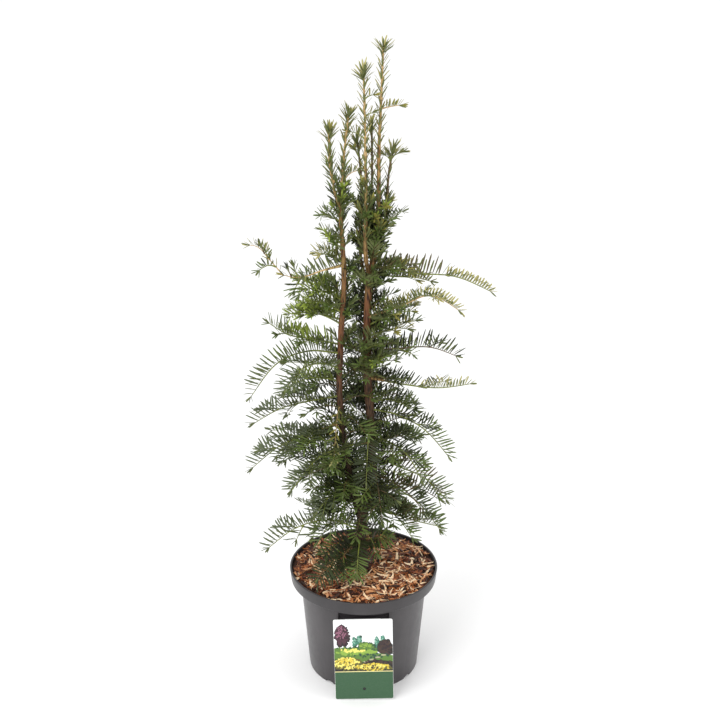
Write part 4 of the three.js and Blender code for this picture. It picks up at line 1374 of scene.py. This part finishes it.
class YEW_OT_mulch(bpy.types.Operator):
    """Make the potting mix and the shredded bark that tops it"""

    bl_idname = "yew.mulch"
    bl_label = "Bark mulch"

    def execute(self, context):
        settings = context.scene.yew_mulch
        rng = np.random.default_rng(settings.seed)
        bed = new_object("mulch_bed", bed_mesh(), potting_mix())
        finish_piece(bed, "bark_mulch", "potting_mix")
        for order, (name, row) in enumerate(BARK_STRIPS.items()):
            light, dark, curl, twist, share, large, gather = row
            strip = new_object("strip", strip_mesh("strip", curl, twist))
            count = round(settings.strips * share)
            places, ways, lids, sizes = strip_places(settings, count, large, gather, rng)
            mesh = point_mesh(name, places, way=ways, face=lids, size=sizes * MM)
            finish = shredded_bark(name, light, dark)
            strips = grow(f"bark_strips_{name}", mesh, scatter_tree(), {
                "Piece": strip,
                "Turn": 0.5,
                "Seed": settings.seed + order,
                "Upper finish": finish,
                "Under finish": finish,
            })
            bpy.data.objects.remove(strip)
            finish_piece(strips, "bark_mulch", "potting_mix")
        return {"FINISHED"}


# ---------------------------------------------------------------- label

# From the card's middle: the picture's lower edge, half the width of the print and its top.
PICTURE_FOOT = -23
PRINT_HALF = LABEL["width"] / 2 - 0.3
PRINT_TOP = LABEL["height"] / 2 - 0.4
LINE_HEIGHT = 1.4
# How far the first and the last print stand over the card.
PRINT_RISE = (0.02, 0.3)
INKS = {
    "haze": "#7fae9a",
    "teal": "#3f7d68",
    "pine": "#1f4430",
    "plum": "#261019",
    "purple": "#472131",
    "mauve": "#8e5a70",
    "light": "#86a83e",
    "lawn": "#567a2c",
    "moss": "#5c5a1e",
    "soil": "#1b1512",
    "russet": "#3e2a20",
    "path": "#a8a684",
    "lemon": "#f0e070",
    "yellow": "#d9bf3a",
}


def disc(x, z, radius, flat=1.0):
    """The outline of a disc or, with flat under one, of a wide low mound."""
    angles = np.linspace(0, FULL_TURN, 20, endpoint=False)
    return [(x + radius * math.cos(a), z + radius * flat * math.sin(a)) for a in angles]


def ragged(x, z, radius, seed, count, high=1.0):
    """The outline of a bush or a leaf: a disc with an uneven edge of count corners."""
    outline = []
    for i in range(count):
        angle = FULL_TURN * i / count
        reach = radius * (0.82 + 0.3 * chance(seed, i))
        outline.append((x + reach * math.cos(angle), z + reach * high * math.sin(angle)))
    return outline


def card_outline():
    """The label's outline, with rounded corners, from its middle."""
    half, high, corner = LABEL["width"] / 2, LABEL["height"] / 2, LABEL["corner"]
    outline = []
    for turn, (x, z) in enumerate(((1, 1), (-1, 1), (-1, -1), (1, -1))):
        centre_x, centre_z = x * (half - corner), z * (high - corner)
        for angle in np.linspace(turn * math.pi / 2, (turn + 1) * math.pi / 2, 7):
            outline.append((
                centre_x + corner * math.cos(angle),
                centre_z + corner * math.sin(angle),
            ))
    return outline


def dabs(ink, middle, reach, count, size, seed):
    """Small uneven dabs of ink, scattered over an oval."""
    rows = []
    for i in range(count):
        angle = FULL_TURN * chance(seed, i)
        share = math.sqrt(chance(seed, i + 0.5))
        x = middle[0] + reach[0] * share * math.cos(angle)
        z = middle[1] + reach[1] * share * math.sin(angle)
        if PICTURE_FOOT < z - size / 2:
            radius = size * (0.6 + 0.7 * chance(seed + 1, i))
            rows.append((ink, ragged(x, z, radius, seed + i, 7)))
    return rows


def bush(inks, middle, reach, count, size, seed):
    """A bush or tree in three inks: its dark body, its leaves, and the lit ones over them."""
    dark, leaf, lit = inks
    x, z = middle
    rows = [(dark, ragged(x, z, reach[0] * 0.9, seed, 26, reach[1] / reach[0]))]
    rows += dabs(dark, middle, reach, count, size * 1.3, seed)
    rows += dabs(leaf, (x - 1, z + 1), (reach[0] * 0.9, reach[1] * 0.9), count, size, seed + 200)
    lit_reach = (reach[0] * 0.7, reach[1] * 0.6)
    rows += dabs(lit, (x - 2, z + reach[1] * 0.3), lit_reach, count // 2, size * 0.7, seed + 400)
    return rows


def garden_picture():
    """The label's plain garden picture, from the back to the front: ink and outline, in
    millimetres from the card's middle. The picture fills the card over its green band."""
    foot, top, side = PICTURE_FOOT, 79.4, PRINT_HALF
    rows = [("sky", [(-side, foot), (side, foot), (side, top - 3), (side - 3, top),
                     (-side + 3, top), (-side, top - 3)])]
    for i, x in enumerate((-14, -6, 24, 34)):
        rows += bush(("pine", "teal", "haze"), (x, 34 + 3 * (i % 2)), (4, 11), 26, 1.7, 31 * i)
    rows += bush(("plum", "purple", "mauve"), (-36, 48), (13, 22), 110, 1.8, 140)
    rows += dabs("pine", (0, 21), (50, 4), 110, 2.4, 145)
    rows += dabs("lawn", (-4, 23), (44, 3), 70, 1.8, 147)
    rows += bush(("pine", "lawn", "light"), (5, 26), (15, 8), 60, 1.9, 150)
    rows += bush(("soil", "russet", "plum"), (38, 22), (13, 18), 100, 1.9, 160)
    rows.append(("lawn", [(-side, foot), (side, foot), (side, 8), (18, 14), (-8, 20), (-side, 24)]))
    rows += dabs("light", (-12, 15), (34, 5), 60, 2.4, 170)
    rows += dabs("lemon", (-22, 19), (24, 3), 34, 2, 180)
    rows += dabs("pine", (14, 8), (30, 5), 30, 2, 190)
    rows.append(("soil", [(-side, foot), (side, foot), (side, -4), (20, 0), (-14, -8), (-side, 2)]))
    for i in range(5):
        rows.append(("path", disc(34 - 10 * i, 9 - 4.4 * i, 4.6, 0.34)))
    rows += dabs("russet", (20, -8), (28, 8), 34, 2.2, 210)
    rows += bush(("moss", "lemon", "yellow"), (-28, -8), (24, 13), 130, 1.9, 220)
    rows += bush(("moss", "yellow", "lemon"), (16, -16), (32, 8), 120, 1.9, 230)
    rows += dabs("moss", (-28, -8), (23, 12), 70, 0.9, 250)
    rows += dabs("soil", (16, -16), (30, 7), 60, 0.9, 260)
    rows += dabs("soil", (-4, -20), (42, 5), 34, 1.4, 240)
    return rows


def printed_outlines():
    """All that is printed on the card, from the back to the front: ink and outline."""
    band = [(x * 0.994, z * 0.996) for x, z in card_outline() if z < 0]
    return [
        ("band", [(PRINT_HALF, PICTURE_FOOT), (-PRINT_HALF, PICTURE_FOOT), *band]),
        *garden_picture(),
        ("line", oblong(PRINT_HALF, PICTURE_FOOT - LINE_HEIGHT, PICTURE_FOOT)),
    ]


def print_sheets(inks):
    """One thin sheet for each ink. Each outline stands a little prouder than those under it."""
    card_front = -LABEL["thickness"]
    outlines = printed_outlines()
    sheets = {ink: bmesh.new() for ink in inks}
    for order, (ink, outline) in enumerate(outlines):
        kept = [(min(max(x, -PRINT_HALF), PRINT_HALF), min(z, PRINT_TOP)) for x, z in outline]
        proud = card_front - blend(*PRINT_RISE, order / len(outlines))
        block = prism(ink, kept, proud, card_front + 0.005, "xzy")
        sheets[ink].from_mesh(block)
        bpy.data.meshes.remove(block)
    things = []
    for ink, sheet in sheets.items():
        mesh = bpy.data.meshes.new(f"label_print_{ink}")
        sheet.to_mesh(mesh)
        sheet.free()
        things.append(new_object(mesh.name, mesh, laminated_card(ink, tuple(inks[ink]))))
    return things


def blank_card():
    """The plain card, with the tongue behind it that hooks into the slot."""
    thickness = LABEL["thickness"]
    white = laminated_card("white", linear("#f3f4f1"))
    card = new_object("label_card", prism("card", card_outline(), -thickness, 0, "xzy"), white)
    middle = LABEL["height"] / 2 - TONGUE["drop"]
    tongue = oblong(TONGUE["width"] / 2, middle - thickness / 2, middle + thickness / 2)
    combine(card, prism("tongue", tongue, -thickness / 2, TONGUE["depth"], "xzy"), "UNION")
    return card


def punched_hole(things):
    """Punches the card and its band, and returns a dark lining and a dark blind floor in the hole:
    painted shade for the shadow seen through it.
    """
    centre = HOLE["height"] - LABEL["height"] / 2
    rim = disc(0, centre, HOLE["radius"] + HOLE["rim"])
    for thing in things:
        if thing.name in ("label_card", "label_print_band"):
            combine(thing, prism("hole", rim, -3, 3, "xzy"), "DIFFERENCE")
    # Painted shade: a near-black lining round the hole and a floor at its back, where a real hole
    # shows only the shadow behind the card.
    punched = prism("label_hole", rim, -LABEL["thickness"] - 0.03, -0.02, "xzy")
    inside = new_object("label_hole", punched, laminated_card("hole", linear("#0c120e")))
    hole = disc(0, centre, HOLE["radius"])
    combine(inside, prism("hole", hole, -3, -HOLE["floor"], "xzy"), "DIFFERENCE")
    return inside


def hang(thing):
    """Brings a piece of the label from the card's middle to its place before the pot."""
    roll = math.radians(LABEL["roll"])
    front = -SEAT["front"] - CLEAR
    centre = LABEL["foot"] + LABEL["height"] / 2
    for vertex in thing.data.vertices:
        x, y, z = vertex.co
        vertex.co = (x * math.cos(roll) + z * math.sin(-roll),
                     y + front * MM,
                     z * math.cos(roll) + x * math.sin(roll) + centre * MM)


class YEW_OT_label(bpy.types.Operator):
    """Make the card label, printed with a plain garden picture over a green band"""

    bl_idname = "yew.label"
    bl_label = "Plant label"

    def execute(self, context):
        settings = context.scene.yew_label
        inks = {"band": settings.band, "line": settings.line, "sky": settings.sky}
        inks.update({name: linear(colour) for name, colour in INKS.items()})
        things = [blank_card(), *print_sheets(inks)]
        things.append(punched_hole(things))
        for thing in things:
            hang(thing)
            finish_piece(thing, "label_card", "plant_label")
        return {"FINISHED"}


# ---------------------------------------------------------------- stems, boughs and twigs


# The bark's pattern round and along a limb, how much finer its second grain is, and the radius
# from which a limb has its full relief.
BARK = {"around": 1.7, "along": 16, "fine": 2.6, "full": 6}
# Sides round the old stems and the young ones, and millimetres from ring to ring.
OLD_SIDES, YOUNG_SIDES = 28, 14
STEM_STEP, BOUGH_STEP = 2.4, 2
BOUGH_GIRTHS = (2.9, 1.7)


def limb_mesh(name, path, radius_at, sides, step, relief, seed):
    """A tapering limb whose bark stands in long uneven scales, closed at both ends."""
    rings = max(3, round(path.length / step))
    shares = np.linspace(0, 1, rings + 1)
    centres = path.at(shares)
    ways = path.way(shares)
    side = unit(np.cross(ways[0], (0.3, 1, 0)))
    around = BARK["around"]
    points = []
    for centre, way, share in zip(centres, ways, shares):
        side = unit(side - side.dot(way) * way)
        over = np.cross(way, side)
        radius = radius_at(share)
        up = share * path.length / BARK["along"]
        for i in range(sides):
            angle = FULL_TURN * i / sides
            spot = Vector((math.cos(angle) * around, math.sin(angle) * around, up))
            scale = noise.noise(spot + Vector((0, 0, seed * 9)))
            fine = noise.noise(spot * BARK["fine"] + Vector((seed * 5, 0, 0)))
            reach = radius + relief * min(1, radius / BARK["full"]) * (scale + 0.5 * fine)
            out = side * math.cos(angle) + over * math.sin(angle)
            points.append(centre + out * reach)
    faces = ring_faces(rings, sides)
    faces.append(tuple(range(sides - 1, -1, -1)))
    faces.append(tuple(rings * sides + i for i in range(sides)))
    return new_mesh(name, points, faces)


# The bark's colours, by the share of the way from its low height to its high one.
OLD_BARK = [
    (0.0, "#3a261a"), (0.16, "#452f20"), (0.32, "#513b28"), (0.44, "#5c3f2a"), (0.55, "#77492a"),
    (0.66, "#7c5832"), (0.74, "#8a6e3e"), (0.84, "#9c7a48"), (1.0, "#a88e58"),
]
YOUNG_BARK = [(0.0, "#7c5c36"), (0.5, "#967646"), (1.0, "#a68e58")]


class YEW_OT_stems(bpy.types.Operator):
    """Make the trunk, the stems and the main boughs with their flaking bark"""

    bl_idname = "yew.stems"
    bl_label = "Stems and boughs"

    def execute(self, context):
        relief = context.scene.yew_wood.relief / MM
        stems, boughs, _, _ = plant_plan()
        old = yew_bark("old", OLD_BARK, 190, 1010)
        young = yew_bark("young", YOUNG_BARK, 640, 900)
        bough_bark = yew_bark("bough", YOUNG_BARK, 300, 760)
        for seed, (name, path) in enumerate(stems.items()):
            is_old = name in OLD_STEMS
            mesh = limb_mesh(
                name, path, lambda share: stem_radius(name, path.at(share)[2]),
                OLD_SIDES if is_old else YOUNG_SIDES, STEM_STEP, relief, seed)
            limb = new_object(f"{name}_bark", mesh, old if is_old else young)
            finish_piece(limb, "old_bark" if is_old else "young_bark", name)
        for seed, (name, (path, bare)) in enumerate(boughs.items()):
            mesh = limb_mesh(
                name, path.part(0, bare), lambda share: blend(*BOUGH_GIRTHS, share),
                YOUNG_SIDES, BOUGH_STEP, relief, seed)
            limb = new_object(f"{name}_bough_bark", mesh, bough_bark)
            finish_piece(limb, "young_bark", f"{name}_bough")
        return {"FINISHED"}


def foliage_nodes():
    """The CAD nodes of every top and foliage mass."""
    return [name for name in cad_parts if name.endswith(("_top", "_foliage"))]


def twig_lines(name, axes):
    """The lines of the twigs in one mesh, with the girth at each point. A collar thickens each
    twig where it leaves its parent."""
    points, edges, girths = [], [], []
    for axis in axes:
        count = max(4, round(axis.path.length / 7))
        shares = np.linspace(0, 1, count + 1)
        edges += [(len(points) + i, len(points) + i + 1) for i in range(count)]
        points += list(axis.path.at(shares))
        collar = 0.7 * np.exp(-shares * axis.path.length / 3) * axis.girths[0]
        girths += list(blend(*axis.girths, shares) + collar)
    mesh = bpy.data.meshes.new(name)
    mesh.from_pydata((np.array(points) * MM).tolist(), edges, [])
    attribute = mesh.attributes.new("girth", "FLOAT", "POINT")
    attribute.data.foreach_set("value", np.array(girths) * MM)
    return mesh


class YEW_OT_twigs(bpy.types.Operator):
    """Make the shoots' own axes and all their twigs"""

    bl_idname = "yew.twigs"
    bl_label = "Twigs"

    def execute(self, context):
        _, _, axes, _ = plant_plan()
        finishes = {
            "green": young_shoot("green", "#80883a", "#565e26"),
            "golden": young_shoot("golden", "#c8a874", "#9c8250"),
            "brown": young_shoot("brown", "#65522e", "#40321c"),
        }
        for kind, finish in finishes.items():
            mesh = twig_lines(kind, [axis for axis in axes if axis.drawn and axis.skin == kind])
            twigs = grow(f"twigs_{kind}", mesh, tube_tree(), {
                "Sides": context.scene.yew_wood.sides,
                "Finish": finish,
            })
            finish_piece(twigs, "young_bark", *foliage_nodes())
        return {"FINISHED"}


# ---------------------------------------------------------------- needles


def needle_mesh():
    """One needle, a unit long and wide: a flat blade with a raised rib, a narrow foot and a
    pointed tip, which bends down a little. Its lower faces are marked as the underside."""
    stations = ((0.1, 0.62), (0.5, 1.0), (0.86, 0.7))
    points = [(0, 0, 0)]
    for along, wide in stations:
        sag = -0.35 * along**2
        points += [(-wide / 2, along, sag), (0, along, sag + 0.13 * wide), (wide / 2, along, sag),
                   (0, along, sag - 0.1 * wide)]
    points.append((0, 1, -0.35))
    faces, under = [], []
    last = len(points) - 1
    for j in range(4):
        k = (j + 1) % 4
        faces.append((0, 1 + j, 1 + k))
        for ring in (0, 4):
            faces.append((1 + ring + j, 5 + ring + j, 5 + ring + k, 1 + ring + k))
        faces.append((9 + j, last, 9 + k))
        under += [j >= 2] * 4
    mesh = closed_mesh("needle", np.array(points) / MM, faces)
    attribute = mesh.attributes.new("under", "BOOLEAN", "FACE")
    attribute.data.foreach_set("value", under)
    return mesh


# How needles vary: radians in their turn, all round a shoot and in two ranks, and in their
# slant; the least and the most share of their length, also in a star, and of their thickness.
NEEDLE_TURNS, NEEDLE_SLANT = (0.12, 0.11), 0.07
NEEDLE_LENGTHS, STAR_LENGTHS, NEEDLE_DEPTHS = (0.86, 1.08), (0.85, 1.15), (0.6, 1.5)
# How much further forward the last needles lean, in radians, and over how many millimetres.
TIP_LEAN = {"angle": 0.7, "run": 6}
# The share of a shoot from which its needles have its outer tint, and how far that varies.
OUTER_SHARE, OUTER_SPREAD = 0.62, 0.05
NEEDLES_PER_PIECE = 8000


def star_needles(axis, star, rng):
    """The needles that close a shoot's tip: roots, ways, faces, lengths and shares."""
    back = rng.uniform(0, star["depth"], star["count"])
    shares = 1 - back / axis.path.length
    turn = np.arange(star["count"]) * GOLDEN_ANGLE + rng.uniform(0, FULL_TURN)
    rise = np.radians(blend(*star["slant"], 1 - back / star["depth"]))
    along, side, lift = axis.frame(shares)
    ways = swing(swing(side, lift, turn), along, rise)
    lengths = star["needle"] * rng.uniform(*STAR_LENGTHS, star["count"])
    return axis.path.at(shares), ways, along, lengths, shares


def needles_on(axis, rng, width):
    """The needles of one axis: roots, ways, faces, sizes and tints."""
    habit = HABITS[axis.habit]
    length = axis.path.length
    count = max(2, int(length * (1 - axis.first) / habit.pitch))
    order = np.arange(count)
    shares = axis.first + (1 - axis.first) * (order + 0.6) / count
    roots = axis.path.at(shares)
    along, side, lift = axis.frame(shares)
    round_spread, flat_spread = NEEDLE_TURNS
    if habit.all_round:
        turn = order * GOLDEN_ANGLE + rng.normal(0, round_spread, count)
    else:
        tilt = math.radians(habit.lift)
        ranks = np.where(order % 2 == 0, tilt, math.pi - tilt)
        turn = ranks + rng.normal(0, flat_spread, count)
    left = (1 - shares) * length
    gone = (shares - axis.first) * length
    lean = np.exp(-left / TIP_LEAN["run"]) * TIP_LEAN["angle"]
    slant = np.radians(habit.slant) + rng.normal(0, NEEDLE_SLANT, count) + lean
    ways = swing(swing(side, lift, turn), along, slant)
    faces = along if habit.all_round else lift
    swell = np.minimum(np.minimum(1, left / TIP_RUN), 0.4 + gone / ROOT_RUN)
    reach = blend(habit.tip, habit.needle, swell) * rng.uniform(*NEEDLE_LENGTHS, count)
    if axis.drawn:
        star = star_needles(axis, STAR if axis.tuft else BUD, rng)
        roots, ways, faces, reach, shares = [
            np.concatenate(pair) for pair in zip((roots, ways, faces, reach, shares), star)]
    count = len(shares)
    width = width * habit.wide
    depths = rng.uniform(*NEEDLE_DEPTHS, count) * width
    sizes = np.stack([np.full(count, width), reach, depths], axis=-1)
    outer = shares + rng.normal(0, OUTER_SPREAD, count) > OUTER_SHARE
    tints = np.where(outer, axis.tints[1], axis.tints[0])
    return roots, unit(ways), faces, sizes, tints


class YEW_OT_needles(bpy.types.Operator):
    """Make the needles, one piece or more for each tint"""

    bl_idname = "yew.needles"
    bl_label = "Needles"

    def execute(self, context):
        settings = context.scene.yew_needles
        rng = np.random.default_rng(settings.seed)
        _, _, axes, room = plant_plan()
        columns = zip(*[needles_on(axis, rng, settings.width / MM) for axis in axes])
        roots, ways, faces, sizes, tints = [np.concatenate(column) for column in columns]
        tips = roots + ways * sizes[:, 1:2]
        middles = (roots + tips) / 2
        clear = np.array([
            room.holds(tip, NEEDLE_GAP) and room.holds(middle, NEEDLE_GAP)
            for tip, middle in zip(tips, middles)
        ])
        needle = new_object("needle", needle_mesh())
        under = yew_needle("underside", tuple(settings.under), 0.6)
        for order, tint in enumerate(NEEDLE_TINTS):
            chosen = np.flatnonzero(clear & (tints == tint))
            finish = yew_needle(tint, tuple(getattr(settings, tint)))
            for part, start in enumerate(range(0, len(chosen), NEEDLES_PER_PIECE)):
                rows = chosen[start : start + NEEDLES_PER_PIECE]
                mesh = point_mesh(tint, roots[rows], way=ways[rows], face=faces[rows],
                                  size=sizes[rows] * MM)
                needles = grow(f"needles_{tint}_{part + 1}", mesh, scatter_tree(), {
                    "Piece": needle,
                    "Turn": 0.35,
                    "Seed": settings.seed + order,
                    "Upper finish": finish,
                    "Under finish": under,
                })
                finish_piece(needles, "needles", *foliage_nodes())
        bpy.data.objects.remove(needle)
        return {"FINISHED"}


# ---------------------------------------------------------------- stage


# Millimetres that the floor reaches and is thick.
FLOOR_REACH, FLOOR_DEPTH = 60000, 20
# In metres: where each soft box stands and how wide it is, and the point that both look at.
KEY_BOX = ((-1.6, -2.2, 2.6), 1.8)
FILL_BOX = ((2.2, -1.4, 1.6), 1.6)
BOX_AIM = (0, 0, 0.5)
DOME_STRENGTH = 1.06
# The camera's place in metres, its tilt up from straight down in degrees, and its sensor.
CAMERA_PLACE = (-0.0063, -1.890, 1.312)
CAMERA_TILT = 68.86
SENSOR_WIDTH = 36


def soft_box(name, place, size, power):
    """A square soft light that looks at the plant."""
    light = bpy.data.lights.new(name, "AREA")
    light.size = size
    light.energy = power
    lamp = bpy.data.objects.new(name, light)
    bpy.context.scene.collection.objects.link(lamp)
    lamp.location = place
    lamp.rotation_euler = (Vector(BOX_AIM) - Vector(place)).to_track_quat("-Z", "Y").to_euler()


def studio_floor():
    """Matt painted boards under the pot: nearly white, with a faint cloudiness."""
    material, tree, shader, place = new_finish("matt_studio_floor", Roughness=0.9)
    mottle(tree, shader, place, 400, [(0.3, "#fafafa"), (0.7, "#fdfdfd")])
    outline = oblong(FLOOR_REACH, -FLOOR_REACH, FLOOR_REACH)
    return new_object("studio_floor", prism("floor", outline, -FLOOR_DEPTH, 0, "xyz"), material)


class YEW_OT_stage(bpy.types.Operator):
    """Set up the pale floor, the soft studio light and the camera"""

    bl_idname = "yew.stage"
    bl_label = "Stage"

    def execute(self, context):
        settings = context.scene.yew_stage
        studio_floor()
        soft_box("key_light", *KEY_BOX, settings.key)
        soft_box("fill_light", *FILL_BOX, settings.fill)
        world = bpy.data.worlds.new("studio_dome")
        world.use_nodes = True
        sky = world.node_tree.nodes["Background"]
        sky.inputs["Color"].default_value = (1, 1, 1, 1)
        sky.inputs["Strength"].default_value = DOME_STRENGTH
        context.scene.world = world
        context.scene.view_settings.view_transform = "Standard"
        camera = bpy.data.cameras.new("camera")
        camera.lens = settings.lens
        camera.sensor_width = SENSOR_WIDTH
        viewer = bpy.data.objects.new("camera", camera)
        context.scene.collection.objects.link(viewer)
        viewer.location = CAMERA_PLACE
        viewer.rotation_euler = (math.radians(CAMERA_TILT), 0, 0)
        context.scene.camera = viewer
        return {"FINISHED"}


class YEW_PT_sidebar(bpy.types.Panel):
    """The yew's pieces, in the order that they are made"""

    bl_idname = "YEW_PT_sidebar"
    bl_label = "Potted English Yew"
    bl_space_type = "VIEW_3D"
    bl_region_type = "UI"
    bl_category = "Yew"

    def draw(self, context):
        for operator in OPERATORS:
            self.layout.operator(operator.bl_idname)


SETTINGS = {
    "yew_pot": PotSettings,
    "yew_mulch": MulchSettings,
    "yew_label": LabelSettings,
    "yew_wood": WoodSettings,
    "yew_needles": NeedleSettings,
    "yew_stage": StageSettings,
}
OPERATORS = (
    YEW_OT_stage, YEW_OT_pot, YEW_OT_mulch, YEW_OT_label, YEW_OT_stems, YEW_OT_twigs,
    YEW_OT_needles,
)


def register():
    for kind in (*SETTINGS.values(), *OPERATORS, YEW_PT_sidebar):
        bpy.utils.register_class(kind)
    for name, kind in SETTINGS.items():
        setattr(bpy.types.Scene, name, bpy.props.PointerProperty(type=kind))


def unregister():
    for name in SETTINGS:
        delattr(bpy.types.Scene, name)
    for kind in (YEW_PT_sidebar, *reversed(OPERATORS), *SETTINGS.values()):
        bpy.utils.unregister_class(kind)


def main():
    register()
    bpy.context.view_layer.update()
    bpy.ops.yew.stage()
    bpy.ops.yew.pot()
    bpy.ops.yew.mulch()
    bpy.ops.yew.label()
    bpy.ops.yew.stems()
    bpy.ops.yew.twigs()
    bpy.ops.yew.needles()
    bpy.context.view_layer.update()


if __name__ == "__main__":
    main()
